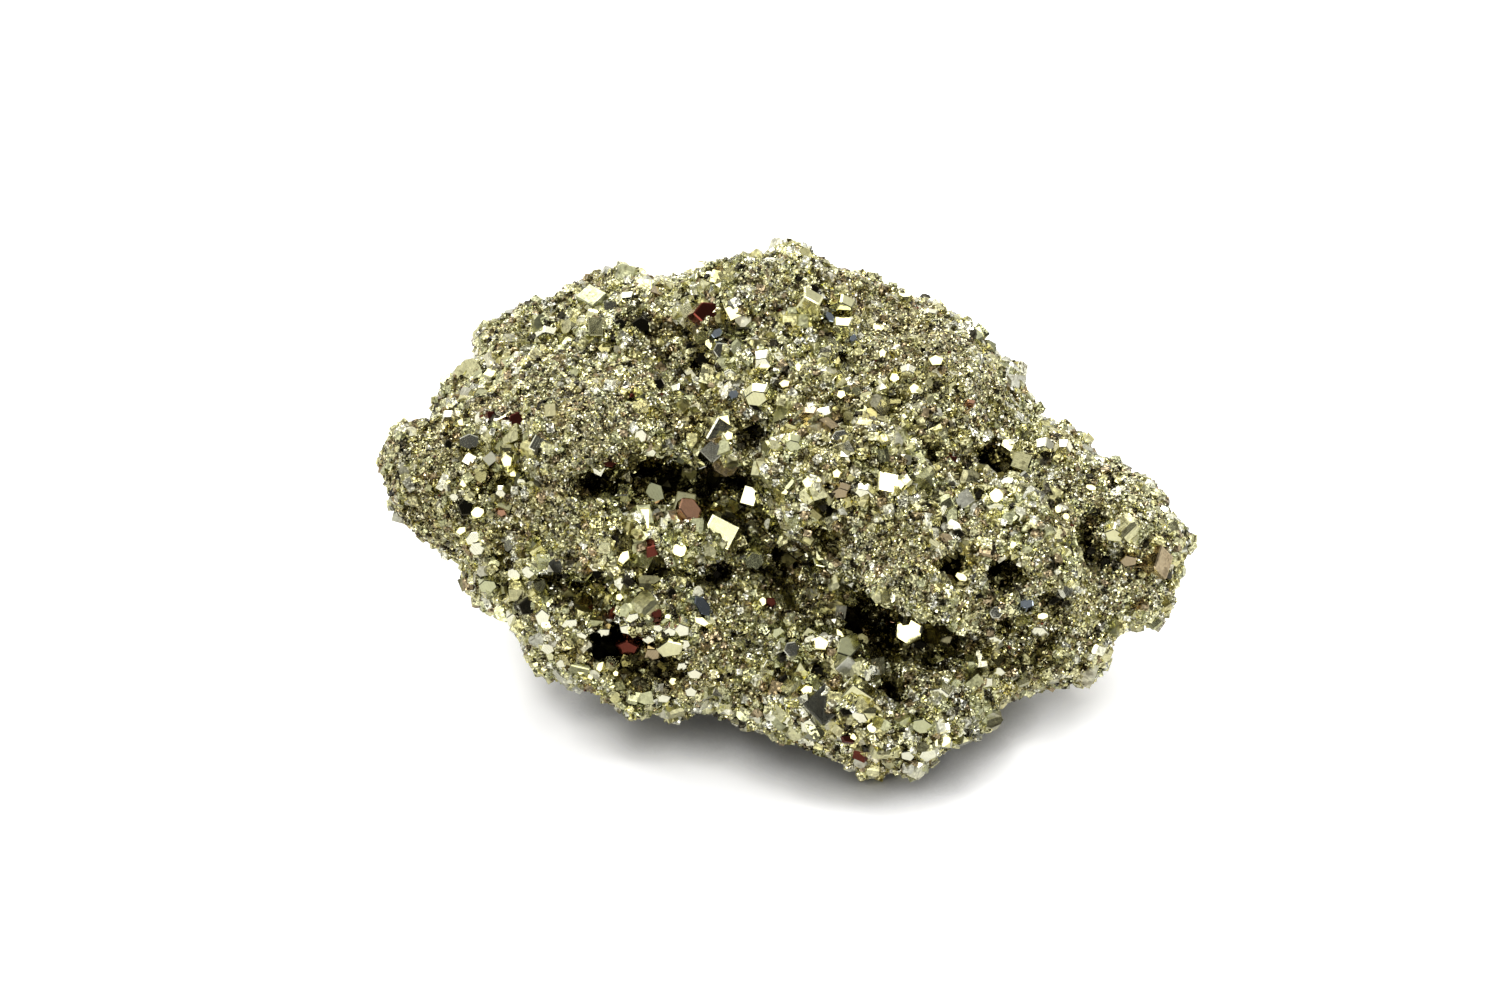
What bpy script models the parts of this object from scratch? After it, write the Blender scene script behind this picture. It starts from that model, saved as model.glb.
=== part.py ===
"""A granular pyrite lump: one natural solid of crystals grown into each other.

The mass is a cluster of rounded lobes with open hollows sunk between them. Its skin is knobbly and
faceted, and cubes, pyritohedra and cubes with cut corners stand out of it with flat faces. It rests
on the flat broken patch underneath. The front is towards -Y, up is +Z, and the origin is on the
ground under the middle of the lump.
"""

import itertools
import math
import random

import bmesh
import bpy
from mathutils import Euler, Matrix, Vector
from mathutils.bvhtree import BVHTree

MM = 0.001

# Rounded lobes of the mass: name, centre and radii in millimetres.
LOBES = (
    ("core", (0.0, 0.0, 13.0), (20.0, 13.0, 10.0)),
    ("base", (-1.0, -1.0, 6.0), (17.0, 12.0, 6.6)),
    ("left_wing", (-24.9, -3.0, 16.2), (6.9, 6.2, 5.1)),
    ("left_heel", (-20.8, -5.0, 11.4), (5.4, 6.0, 5.4)),
    ("left_dome", (-16.0, -2.0, 17.4), (9.0, 9.0, 8.0)),
    ("left_dome_foot", (-15.5, -6.5, 12.4), (8.0, 8.0, 7.0)),
    ("left_crest", (-18.5, 8.0, 16.9), (7.4, 8.0, 6.9)),
    ("left_shoulder", (-23.0, 4.0, 16.2), (5.0, 6.0, 5.4)),
    ("back_left_crest", (-13.0, 9.5, 19.2), (7.0, 8.0, 6.6)),
    ("back_left_saddle", (-6.5, 9.0, 20.0), (6.0, 8.0, 6.4)),
    ("summit_left", (-3.0, 7.0, 24.2), (4.8, 5.0, 5.2)),
    ("summit_right", (1.6, 7.0, 25.4), (4.8, 5.0, 5.4)),
    ("summit_foot", (0.0, 3.0, 20.0), (8.0, 8.0, 7.5)),
    ("back_ridge_high", (6.2, 11.8, 17.6), (6.5, 7.0, 6.3)),
    ("back_ridge_mid", (11.8, 11.6, 14.9), (6.0, 7.0, 6.1)),
    ("back_ridge_low", (16.2, 9.0, 11.6), (5.0, 7.0, 6.0)),
    ("right_brow", (9.0, 2.0, 19.0), (9.0, 9.0, 7.0)),
    ("middle_bulge", (4.5, -6.5, 17.0), (9.0, 8.0, 8.0)),
    ("right_bulge", (14.5, -9.0, 13.0), (9.0, 8.0, 7.0)),
    ("right_shoulder", (19.2, -2.0, 12.8), (8.0, 8.0, 6.3)),
    ("right_wing", (26.2, -5.4, 11.7), (5.3, 6.6, 5.9)),
    ("right_wing_foot", (27.4, -6.0, 9.4), (4.2, 4.6, 4.2)),
    ("nodule", (10.0, -14.0, 15.0), (5.6, 5.2, 5.0)),
    ("right_foot", (20.0, -11.0, 7.8), (6.2, 5.8, 5.2)),
    ("front_foot", (8.0, -15.2, 6.2), (9.0, 8.3, 6.3)),
    ("front_foot_left", (-0.2, -13.5, 6.4), (6.0, 6.5, 5.4)),
    ("front_foot_right", (12.8, -12.0, 7.2), (6.2, 6.4, 5.7)),
    ("left_foot", (-8.6, -12.0, 7.5), (8.0, 7.2, 5.8)),
    ("left_foot_outer", (-15.4, -10.0, 8.2), (6.6, 6.4, 5.5)),
)

# Hollows sunk into the mass: name, centre and radii in millimetres, pitch about X and roll about Y in
# degrees. A hollow of pitch INWARDS reaches back and down into the mass from the front.
INWARDS = -38
HOLLOWS = (
    ("vug_left", (-13.8, -9.4, 20.6), (3.6, 4.8, 1.7), INWARDS, 15),
    ("vug_middle", (-9.2, -8.4, 20.0), (5.2, 5.2, 2.4), INWARDS, 0),
    ("vug_right", (-3.6, -9.6, 19.0), (3.8, 5.6, 3.2), INWARDS, 30),
    ("vug_tail", (-1.8, -12.0, 16.6), (2.6, 5.2, 2.8), INWARDS, 60),
    ("vug_floor_pit", (-5.5, -11.6, 13.2), (1.7, 2.2, 1.5), INWARDS, 0),
    ("crevice_top", (0.6, -13.0, 15.0), (3.8, 6.4, 2.6), INWARDS, 45),
    ("crevice_middle", (4.6, -15.2, 13.0), (4.2, 6.8, 2.7), INWARDS, 25),
    ("crevice_foot", (9.2, -16.4, 11.2), (4.2, 6.4, 2.6), INWARDS, 15),
    ("left_foot_mouth", (-10.4, -15.4, 9.6), (4.6, 4.4, 1.8), INWARDS, 8),
    ("right_ledge", (17.6, -15.8, 10.8), (5.0, 4.6, 1.7), INWARDS, -8),
    ("dome_undercut", (-16.3, -13.4, 14.2), (4.2, 3.4, 1.4), INWARDS, 5),
    ("nodule_pit", (12.6, -15.8, 17.4), (1.5, 3.0, 1.5), INWARDS, 0),
    ("bulge_pit", (16.7, -14.6, 16.4), (1.9, 3.2, 1.5), INWARDS, 0),
    ("bulge_slot", (20.5, -15.4, 13.8), (1.7, 2.4, 1.0), INWARDS, 10),
    ("bulge_dimple", (11.1, -7.9, 22.0), (1.4, 1.4, 1.3), 0, 0),
    ("wing_groove_high", (24.0, -8.8, 16.4), (1.6, 2.4, 1.9), INWARDS, 0),
    ("wing_groove_low", (24.5, -10.9, 14.0), (1.6, 2.4, 1.6), INWARDS, 0),
    ("summit_pit", (2.2, 4.3, 29.2), (1.3, 1.4, 1.4), 0, 0),
    ("crest_pit", (-11.6, 5.0, 25.2), (2.0, 1.9, 1.7), 0, 0),
    ("crest_slot", (-18.9, 4.5, 23.6), (3.0, 2.0, 1.2), INWARDS, 0),
    ("brow_pit_left", (-6.4, 1.8, 23.8), (1.8, 1.8, 1.8), 0, 0),
    ("brow_slot", (-2.3, -5.2, 22.2), (2.0, 2.4, 1.4), INWARDS, 30),
    ("brow_pit_right", (16.3, -4.6, 19.2), (2.4, 2.2, 1.6), INWARDS, 0),
    ("left_wing_dimple", (-24.4, -5.4, 21.0), (1.5, 1.5, 1.3), 0, 0),
    ("left_wing_pit", (-24.6, -9.4, 17.8), (1.3, 2.0, 1.3), INWARDS, 0),
    ("front_pit", (0.0, -19.0, 9.6), (1.3, 2.6, 1.3), INWARDS, 0),
    ("front_slot", (8.0, -19.8, 9.4), (1.3, 3.0, 2.2), INWARDS, 0),
    ("foot_gap", (-2.2, -17.0, 9.8), (1.4, 2.4, 1.2), INWARDS, 0),
    ("back_hollow", (-5.0, 16.6, 16.6), (4.4, 3.4, 2.8), 30, -15),
    ("back_pit", (7.5, 18.2, 13.0), (2.0, 2.4, 2.2), 0, 0),
    ("back_left_hollow", (-20.0, 14.6, 13.0), (3.0, 3.0, 2.2), 20, 10),
    ("back_right_pit", (21.0, 6.2, 11.0), (2.2, 2.6, 1.9), 0, 0),
)

# How finely the skin is made, how far it is evened out, and the share of its faces that is kept.
VOXEL = 0.7 * MM
BLEND_STEPS = 20
ROUND_OFF_STEPS = 2
SMOOTHING = 0.5
SKIN_SHARE = 0.089
ELLIPSOID_DETAIL = 4

# Relief of the skin: name, noise pattern, size and height in millimetres.
RELIEF = (
    ("swells", "CLOUDS", 6.0, 2.0),
    ("knobs", "VORONOI", 2.4, 1.5),
)

# Large crystals: name, habit, a place on or near the skin and a size in millimetres, turn in degrees.
# Each sits on the skin where the skin is nearest to its place.
LARGE_CRYSTALS = (
    ("vug_cube_left", "cube", (-7.0, -8.4, 16.8), 2.1, (50, 8, 20)),
    ("vug_cube_right", "cube", (-4.6, -8.6, 15.9), 2.8, (48, -12, 32)),
    ("vug_cube_back", "cube", (-2.6, -5.8, 16.6), 1.8, (35, 10, 15)),
    ("vug_striped_cube", "cube", (-6.9, -5.6, 17.2), 2.0, (40, -10, 60)),
    ("vug_left_plate", "cut_cube", (-12.8, -7.8, 17.6), 2.4, (60, 20, 40)),
    ("vug_red", "pyritohedron", (-8.4, -9.6, 17.4), 2.0, (20, 30, 10)),
    ("vug_green", "cut_cube", (-10.4, -6.4, 16.8), 1.9, (15, 50, 30)),
    ("vug_lip", "cube", (-9.0, -12.2, 16.2), 1.6, (70, 25, 15)),
    ("dome_plate", "cut_cube", (-16.0, -11.4, 13.4), 2.4, (52, 4, 12)),
    ("summit_plate", "cube", (2.2, 4.2, 28.4), 2.6, (38, 18, 25)),
    ("summit_block", "pyritohedron", (5.4, 2.4, 26.6), 2.6, (15, 45, 20)),
    ("summit_red", "cut_cube", (-6.3, 4.2, 26.8), 2.6, (30, 60, 10)),
    ("brow_plate", "cube", (-2.1, -2.8, 24.0), 2.2, (44, 12, 50)),
    ("brow_cluster", "cube", (11.8, 0.0, 25.2), 2.0, (25, 35, 5)),
    ("foot_bright", "pyritohedron", (10.0, -17.6, 10.8), 2.6, (40, 10, 30)),
    ("foot_olive_plate", "cube", (4.4, -17.4, 11.8), 2.7, (55, 20, 45)),
    ("foot_grey", "cut_cube", (1.8, -20.8, 7.6), 2.6, (65, 0, 25)),
    ("foot_block", "cube", (5.6, -21.6, 8.8), 2.4, (72, 14, 35)),
    ("foot_low_left", "cube", (7.6, -22.6, 7.2), 1.7, (60, 35, 10)),
    ("foot_low_right", "cube", (11.9, -21.6, 7.8), 1.9, (80, 10, 50)),
    ("left_foot_red", "pyritohedron", (-12.3, -14.0, 8.0), 2.6, (10, 20, 40)),
    ("left_foot_plate", "cut_cube", (-8.9, -17.0, 11.0), 2.6, (75, 5, 10)),
    ("left_foot_dark", "cut_cube", (-6.3, -14.8, 13.2), 2.2, (30, 40, 70)),
    ("right_wing_plate", "cube", (25.6, -9.7, 16.0), 2.0, (50, 15, 25)),
)

# Smaller crystals scattered over a zone of the skin: name, centre and reach of the zone, smallest and
# largest crystal, all in millimetres, and how many.
ZONES = (
    ("vug", (-7.5, -9.5, 17.0), 8.5, (1.4, 2.3), 13),
    ("left_foot", (-11.0, -15.5, 9.5), 8.0, (1.5, 2.3), 11),
    ("front_foot", (6.5, -20.0, 8.0), 8.5, (1.5, 2.4), 11),
    ("summit", (1.5, 4.0, 27.0), 7.0, (1.5, 2.3), 7),
    ("left_wing", (-24.0, -8.0, 17.0), 7.0, (1.5, 2.3), 7),
    ("left_dome", (-16.0, -2.0, 24.0), 9.0, (1.6, 2.6), 6),
    ("right_brow", (13.0, -8.0, 19.0), 13.0, (1.6, 2.8), 20),
    ("right_wing", (26.0, -6.0, 13.0), 7.5, (1.6, 2.6), 6),
    ("back", (0.0, 16.0, 14.0), 26.0, (1.8, 3.0), 15),
)
SEED = 6
TRIES = 400
SCATTER_HABITS = ("cube", "cube", "cube", "cut_cube", "pyritohedron")

# How deep a crystal sits and how far it reaches from its centre, as shares of its size. Crystals that
# touch are fused in different layers.
SUNK = 0.26
REACH = 0.8
LAYERS = 3

# No crystal's centre is lower than this, in millimetres.
CLEAR_OF_GROUND = 2.2

# Shape of the crystals: the height of a pyritohedron's ridge over its cube, for a half side of 1, and
# how far a cut corner reaches in along its edges.
RIDGE_RISE = 0.5
CORNER_CUT = 0.35

# The underside is broken off flat at the ground.
GROUND_BLOCK = (90.0, 70.0, 20.0)

COLOUR = (0.60, 0.54, 0.36, 1.0)
ROUGHNESS = 0.28


def clear_scene():
    """Empties the scene."""
    for old in list(bpy.data.objects):
        bpy.data.objects.remove(old)


def collection(name):
    """A new collection of the scene."""
    made = bpy.data.collections.new(name)
    bpy.context.scene.collection.children.link(made)
    return made


def object_of(mesh, name, home):
    """Turns a bmesh into an object of a collection."""
    data = bpy.data.meshes.new(name)
    mesh.to_mesh(data)
    mesh.free()
    made = bpy.data.objects.new(name, data)
    home.objects.link(made)
    return made


def make_tool(mesh, name, home):
    """An object that only cuts or joins, so it isn't part of the lump."""
    tool = object_of(mesh, name, home)
    tool.hide_render = True
    tool.display_type = "WIRE"
    return tool


def add_remesh(target, name):
    """Makes one closed skin around all that the object holds."""
    remesh = target.modifiers.new(name, "REMESH")
    remesh.mode = "VOXEL"
    remesh.voxel_size = VOXEL


def add_smooth(target, name, steps):
    """Evens the skin out."""
    smooth = target.modifiers.new(name, "SMOOTH")
    smooth.factor = SMOOTHING
    smooth.iterations = steps


def add_boolean(target, name, operation, tool, solver="EXACT"):
    """Joins or cuts the object with a tool."""
    boolean = target.modifiers.new(name, "BOOLEAN")
    boolean.operation = operation
    boolean.solver = solver
    boolean.object = tool


def add_relief(target, name, pattern, size, height):
    """Raises and sinks the skin by a noise pattern. Size and height are in millimetres."""
    texture = bpy.data.textures.new(name, pattern)
    texture.noise_scale = size * MM
    relief = target.modifiers.new(name, "DISPLACE")
    relief.texture = texture
    relief.texture_coords = "GLOBAL"
    relief.strength = height * MM
    relief.mid_level = 0.5


def add_ellipsoid(mesh, centre, radii, pitch=0.0, roll=0.0):
    """Adds a closed ellipsoid to a bmesh, in millimetres, turned in degrees about Y and then X."""
    place = Matrix.Translation(Vector(centre) * MM)
    rotation = Matrix.Rotation(math.radians(pitch), 4, "X") @ Matrix.Rotation(math.radians(roll), 4, "Y")
    scale = Matrix.Diagonal((*(radius * MM for radius in radii), 1.0))
    whole = place @ rotation @ scale
    bmesh.ops.create_icosphere(mesh, subdivisions=ELLIPSOID_DETAIL, radius=1.0, matrix=whole)


def make_mass(home):
    """The lobes grown together into one rounded mass."""
    mesh = bmesh.new()
    for _, centre, radii in LOBES:
        add_ellipsoid(mesh, centre, radii)
    mass = object_of(mesh, "pyrite_lump", home)
    add_remesh(mass, "grow together")
    add_smooth(mass, "blend", BLEND_STEPS)
    return mass


def make_hollows(home):
    """The tool that sinks every hollow."""
    mesh = bmesh.new()
    for _, centre, radii, pitch, roll in HOLLOWS:
        add_ellipsoid(mesh, centre, radii, pitch, roll)
    hollows = make_tool(mesh, "hollows", home)
    add_remesh(hollows, "join")
    return hollows


def cube_corners():
    """The corners of a cube of half side 1."""
    return [Vector((x, y, z)) for x in (-1, 1) for y in (-1, 1) for z in (-1, 1)]


def pyritohedron_corners():
    """The corners of a pyritohedron: a cube's, and a roof's ridge over each of its faces."""
    ridge, reach = 1 + RIDGE_RISE, 1 - RIDGE_RISE * RIDGE_RISE
    corners = cube_corners()
    for a in (-ridge, ridge):
        for b in (-reach, reach):
            corners += [Vector((0, a, b)), Vector((b, 0, a)), Vector((a, b, 0))]
    return [corner / ridge for corner in corners]


def cut_cube_corners():
    """The corners of a cube with each corner cut off."""
    corners = []
    for x, y, z in cube_corners():
        corners += [(x * CORNER_CUT, y, z), (x, y * CORNER_CUT, z), (x, y, z * CORNER_CUT)]
    return [Vector(corner) for corner in corners]


HABITS = {
    "cube": cube_corners,
    "cut_cube": cut_cube_corners,
    "pyritohedron": pyritohedron_corners,
}


def add_crystal(mesh, habit, centre, size, turn):
    """Adds a closed crystal to a bmesh. Centre and size are in metres."""
    place = Matrix.Translation(centre) @ turn.to_matrix().to_4x4() @ Matrix.Scale(size / 2, 4)
    corners = [mesh.verts.new(place @ corner) for corner in HABITS[habit]()]
    hull = bmesh.ops.convex_hull(mesh, input=corners)
    spare = [v for v in hull["geom_interior"] if isinstance(v, bmesh.types.BMVert)]
    bmesh.ops.delete(mesh, geom=spare, context="VERTS")


def skin_of(target):
    """The object's skin as it is now: its points and triangles."""
    graph = bpy.context.evaluated_depsgraph_get()
    skin = target.evaluated_get(graph).to_mesh()
    skin.calc_loop_triangles()
    points = [vertex.co.copy() for vertex in skin.vertices]
    return points, [tuple(triangle.vertices) for triangle in skin.loop_triangles]


def zone_seats(points, faces, centre, reach, chance):
    """Random places on the skin of a zone, by area: points and their normals."""
    corners = [[points[i] for i in face] for face in faces]
    near = [trio for trio in corners if (sum(trio, Vector()) / 3 - centre).length < reach]
    areas = list(itertools.accumulate((b - a).cross(c - a).length for a, b, c in near))
    for a, b, c in chance.choices(near, cum_weights=areas, k=TRIES):
        s, t = chance.random(), chance.random()
        if s + t > 1:
            s, t = 1 - s, 1 - t
        yield a + (b - a) * s + (c - a) * t, (b - a).cross(c - a).normalized()


def is_clear(centre, room, others):
    """Whether a crystal touches none of the others, each given by its centre and the room it takes."""
    return all((centre - other).length >= room + across for other, across in others)


def make_crystals(mass, home):
    """The tools that fuse the crystals onto the skin.

    Scattered crystals keep clear of all the others. Large ones may grow into each other, and those
    that do are in different tools, so that each tool is made of separate closed crystals.
    """
    chance = random.Random(SEED)
    points, faces = skin_of(mass)
    skin = BVHTree.FromPolygons(points, faces)
    layers = [(bmesh.new(), []) for _ in range(LAYERS)]
    for _, habit, place, size, turn in LARGE_CRYSTALS:
        seat, normal, _, _ = skin.find_nearest(Vector(place) * MM)
        centre = seat - normal * size * MM * SUNK
        room = size * MM * REACH
        mesh, placed = next(layer for layer in layers if is_clear(centre, room, layer[1]))
        add_crystal(mesh, habit, centre, size * MM, Euler([math.radians(angle) for angle in turn]))
        placed.append((centre, room))
    first_mesh = layers[0][0]
    taken = [crystal for _, placed in layers for crystal in placed]
    for _, middle, reach, (small, large), count in ZONES:
        wanted = len(taken) + count
        for point, normal in zone_seats(points, faces, Vector(middle) * MM, reach * MM, chance):
            size = (small + (large - small) * chance.random() ** 2) * MM
            centre = point - normal * size * SUNK
            room = size * REACH
            turn = Euler([chance.uniform(0, math.tau) for _ in range(3)])
            habit = chance.choice(SCATTER_HABITS)
            if len(taken) == wanted:
                break
            if centre.z > CLEAR_OF_GROUND * MM and is_clear(centre, room, taken):
                add_crystal(first_mesh, habit, centre, size, turn)
                taken.append((centre, room))
    used = [mesh for mesh, placed in layers if placed]
    return [make_tool(mesh, f"crystals_{i}", home) for i, mesh in enumerate(used, 1)]


def make_ground(home):
    """The tool that breaks the underside off flat."""
    mesh = bmesh.new()
    width, depth, height = (side * MM for side in GROUND_BLOCK)
    place = Matrix.Translation((0, 0, -height / 2)) @ Matrix.Diagonal((width, depth, height, 1))
    bmesh.ops.create_cube(mesh, size=1.0, matrix=place)
    return make_tool(mesh, "ground", home)


def make_pyrite():
    """The pale brassy metal of the crystals."""
    pyrite = bpy.data.materials.new("pyrite")
    pyrite.use_nodes = True
    shader = pyrite.node_tree.nodes["Principled BSDF"]
    shader.inputs["Base Color"].default_value = COLOUR
    shader.inputs["Metallic"].default_value = 1.0
    shader.inputs["Roughness"].default_value = ROUGHNESS
    return pyrite


def main():
    """Builds the lump."""
    clear_scene()
    parts = collection("pyrite specimen")
    tools = collection("tools")
    mass = make_mass(parts)
    add_boolean(mass, "sink hollows", "DIFFERENCE", make_hollows(tools))
    add_remesh(mass, "heal")
    add_smooth(mass, "round off", ROUND_OFF_STEPS)
    for name, pattern, size, height in RELIEF:
        add_relief(mass, name, pattern, size, height)
    facets = mass.modifiers.new("facets", "DECIMATE")
    facets.ratio = SKIN_SHARE
    for crystals in make_crystals(mass, tools):
        add_boolean(mass, "fuse " + crystals.name, "UNION", crystals, "MANIFOLD")
    add_boolean(mass, "break off flat", "DIFFERENCE", make_ground(tools))
    mass.data.materials.append(make_pyrite())


main()
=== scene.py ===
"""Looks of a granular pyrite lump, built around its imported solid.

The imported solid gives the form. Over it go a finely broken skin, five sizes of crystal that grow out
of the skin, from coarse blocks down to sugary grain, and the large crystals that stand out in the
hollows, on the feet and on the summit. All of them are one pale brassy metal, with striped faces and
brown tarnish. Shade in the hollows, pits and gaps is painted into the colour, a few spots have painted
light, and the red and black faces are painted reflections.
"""

import sys
import logging
import math
from collections.abc import Callable
from dataclasses import dataclass, field
from enum import Enum

import bpy
import numpy as np
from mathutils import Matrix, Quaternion, Vector
from mathutils.bvhtree import BVHTree


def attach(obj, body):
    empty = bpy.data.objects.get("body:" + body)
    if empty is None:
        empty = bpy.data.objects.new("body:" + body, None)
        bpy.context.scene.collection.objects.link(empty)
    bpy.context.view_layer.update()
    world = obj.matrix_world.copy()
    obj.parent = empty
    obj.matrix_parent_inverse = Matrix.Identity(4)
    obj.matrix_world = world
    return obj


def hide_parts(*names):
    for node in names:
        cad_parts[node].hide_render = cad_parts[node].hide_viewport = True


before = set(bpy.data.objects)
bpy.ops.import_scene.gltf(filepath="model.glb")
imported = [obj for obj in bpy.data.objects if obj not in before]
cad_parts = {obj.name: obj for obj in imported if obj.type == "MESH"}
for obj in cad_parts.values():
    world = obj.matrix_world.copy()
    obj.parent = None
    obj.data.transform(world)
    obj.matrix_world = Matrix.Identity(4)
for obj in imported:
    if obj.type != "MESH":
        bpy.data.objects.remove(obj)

LOG = logging.getLogger("pyrite_lump")

MM = 0.001
NODE = "pyrite_lump"
BODY = "root"

Array = np.ndarray
Triple = tuple[float, float, float]
Curve = tuple[tuple[float, ...], tuple[float, ...]]
Links = dict[str | int, object]


class Seed(Enum):
    """Where each kind of random numbers starts."""

    SHAKE = 3
    LARGE = 4
    WAYS = 5
    SHADES = 6
    SOOT = 8
    GRAIN = 21

    def start(self, step: int = 0) -> np.random.Generator:
        """A new source of random numbers, a few steps on from the seed."""
        return np.random.default_rng(self.value + step)


# ---------------------------------------------------------------------------------------------------
# Working in Blender
# ---------------------------------------------------------------------------------------------------


def start_clean() -> None:
    """Deselects everything, so that the next operator acts on nothing old."""
    bpy.ops.object.select_all(action="DESELECT")


def select_only(piece: bpy.types.Object) -> None:
    """Makes a piece the only one selected, and the active one.

    Args:
        piece: The piece.
    """
    start_clean()
    piece.select_set(True)
    bpy.context.view_layer.objects.active = piece


def put_in(name: str, data: bpy.types.ID) -> bpy.types.Object:
    """Makes an object and puts it in the scene.

    Args:
        name: Its name.
        data: Its mesh, lamp or camera.

    Returns:
        The object.
    """
    made = bpy.data.objects.new(name, data)
    bpy.context.scene.collection.objects.link(made)
    return made


def aim(piece: bpy.types.Object, place: Vector, way: Vector) -> None:
    """Puts a camera or a lamp in its place and points it.

    Args:
        piece: The camera or lamp.
        place: Where it stands.
        way: The way it looks.
    """
    piece.location = place
    piece.rotation_euler = way.to_track_quat("-Z", "Y").to_euler()


def apply_modifier(piece: bpy.types.Object, kind: str, **settings: object) -> None:
    """Adds a modifier to a piece and applies it.

    Args:
        piece: The piece to change.
        kind: The modifier's type, such as REMESH.
        **settings: The modifier's own settings.
    """
    modifier = piece.modifiers.new(kind.lower(), kind)
    for name, value in settings.items():
        setattr(modifier, name, value)
    select_only(piece)
    bpy.ops.object.modifier_apply(modifier=modifier.name)


def edit_all(piece: bpy.types.Object, change: Callable[..., set[str]], **settings: object) -> None:
    """Runs an edit-mode operator on the whole of a piece.

    Args:
        piece: The piece to change.
        change: The operator.
        **settings: The operator's own settings.
    """
    select_only(piece)
    bpy.ops.object.mode_set(mode="EDIT")
    bpy.ops.mesh.select_all(action="SELECT")
    change(**settings)
    bpy.ops.object.mode_set(mode="OBJECT")


def rows_of(entries: bpy.types.bpy_prop_collection, label: str, kind: type) -> Array:
    """Reads three numbers from every entry of a mesh's list.

    Args:
        entries: The list, such as the mesh's vertices.
        label: What is read.
        kind: The type of the numbers.

    Returns:
        One row of three numbers for each entry.
    """
    flat = np.empty(len(entries) * 3, kind)
    entries.foreach_get(label, flat)
    return flat.reshape(-1, 3)


def points_of(mesh: bpy.types.Mesh) -> Array:
    """The vertices of a mesh, one row each."""
    return rows_of(mesh.vertices, "co", np.float32).astype(float)


def normals_of(mesh: bpy.types.Mesh) -> Array:
    """The vertex normals of a mesh, one row each."""
    return rows_of(mesh.vertex_normals, "vector", np.float32).astype(float)


def triangles_of(mesh: bpy.types.Mesh) -> Array:
    """The triangles of a mesh, three vertex numbers each."""
    mesh.calc_loop_triangles()
    return rows_of(mesh.loop_triangles, "vertices", np.int32)


def move_points(mesh: bpy.types.Mesh, places: Array) -> None:
    """Moves the vertices of a mesh to new places."""
    mesh.vertices.foreach_set("co", places.astype(np.float32).ravel())
    mesh.update()


def surface_of(points: Array, triangles: Array) -> BVHTree:
    """A surface that rays can be sent to."""
    return BVHTree.FromPolygons(points.tolist(), triangles.tolist())


def unit_rows(rows: Array) -> Array:
    """Rows scaled to length one."""
    return rows / np.linalg.norm(rows, axis=1, keepdims=True)


def add_attribute(mesh: bpy.types.Mesh, name: str, values: Array) -> None:
    """Stores a number or a colour for each vertex.

    Args:
        mesh: The mesh.
        name: The attribute's name, as the finish reads it.
        values: One value each, or one row of red, green and blue each.
    """
    if values.ndim == 1:
        layer = mesh.attributes.new(name, "FLOAT", "POINT")
        layer.data.foreach_set("value", values.astype(np.float32))
        return
    layer = mesh.attributes.new(name, "FLOAT_COLOR", "POINT")
    rows = np.concatenate([values, np.ones((len(values), 1))], axis=1)
    layer.data.foreach_set("color", rows.astype(np.float32).ravel())


def finish_flat(mesh: bpy.types.Mesh, material: bpy.types.Material) -> None:
    """Gives a mesh its material and flat faces.

    Args:
        mesh: The mesh.
        material: Its material.
    """
    mesh.materials.clear()
    mesh.materials.append(material)
    mesh.polygons.foreach_set("use_smooth", np.zeros(len(mesh.polygons), bool))
    mesh.update()


# ---------------------------------------------------------------------------------------------------
# The view
# ---------------------------------------------------------------------------------------------------


@dataclass(frozen=True)
class View:
    """The camera's place, and the way from a place in its picture to the lump.

    Attributes:
        elevation: How far the camera looks down, in degrees.
        lens: Focal length, in millimetres.
        sensor: Sensor width, in millimetres.
        nearest: How near the camera still sees things, in metres.
        reach: Width of the picture at the lump's middle, in metres.
        picture: Width and height of the picture, in pixels.
        middle: The lump's middle, in metres.
        middle_at: Where the lump's middle falls in the picture, in pixels.
    """

    elevation: float = 38.0
    lens: float = 85.0
    sensor: float = 36.0
    nearest: float = 0.01
    reach: float = 0.1207
    picture: tuple[float, float] = (1500.0, 1000.0)
    middle: Triple = (0.0, 0.0, 0.011)
    middle_at: tuple[float, float] = (783.0, 508.0)

    @property
    def pixel(self) -> float:
        """Size of a pixel at the lump's middle, in metres."""
        return self.reach / self.picture[0]

    @property
    def back(self) -> Vector:
        """The way from the lump to the camera."""
        angle = math.radians(self.elevation)
        return Vector((0.0, -math.cos(angle), math.sin(angle)))

    @property
    def up(self) -> Vector:
        """The picture's upward way."""
        angle = math.radians(self.elevation)
        return Vector((0.0, math.sin(angle), math.cos(angle)))

    @property
    def right(self) -> Vector:
        """The picture's way to the right."""
        return Vector((1.0, 0.0, 0.0))

    @property
    def place(self) -> Vector:
        """Where the camera stands."""
        across = self.picture[0] / 2 - self.middle_at[0]
        down = self.picture[1] / 2 - self.middle_at[1]
        target = Vector(self.middle) + (self.right * across - self.up * down) * self.pixel
        return target + self.back * (self.reach * self.lens / self.sensor)

    def towards(self, across: float, down: float) -> Vector:
        """The way from the camera through a place in the picture.

        Args:
            across: Pixels from the picture's left side.
            down: Pixels from its top.

        Returns:
            The direction, of length one.
        """
        way = -self.back * (self.reach * self.lens / self.sensor)
        way += self.right * (across - self.picture[0] / 2) * self.pixel
        way -= self.up * (down - self.picture[1] / 2) * self.pixel
        return way.normalized()

    def build(self) -> None:
        """Makes the camera."""
        data = bpy.data.cameras.new("camera")
        data.lens = self.lens
        data.sensor_width = self.sensor
        data.clip_start = self.nearest
        camera = put_in("camera", data)
        aim(camera, self.place, -self.back)
        bpy.context.scene.camera = camera


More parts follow.
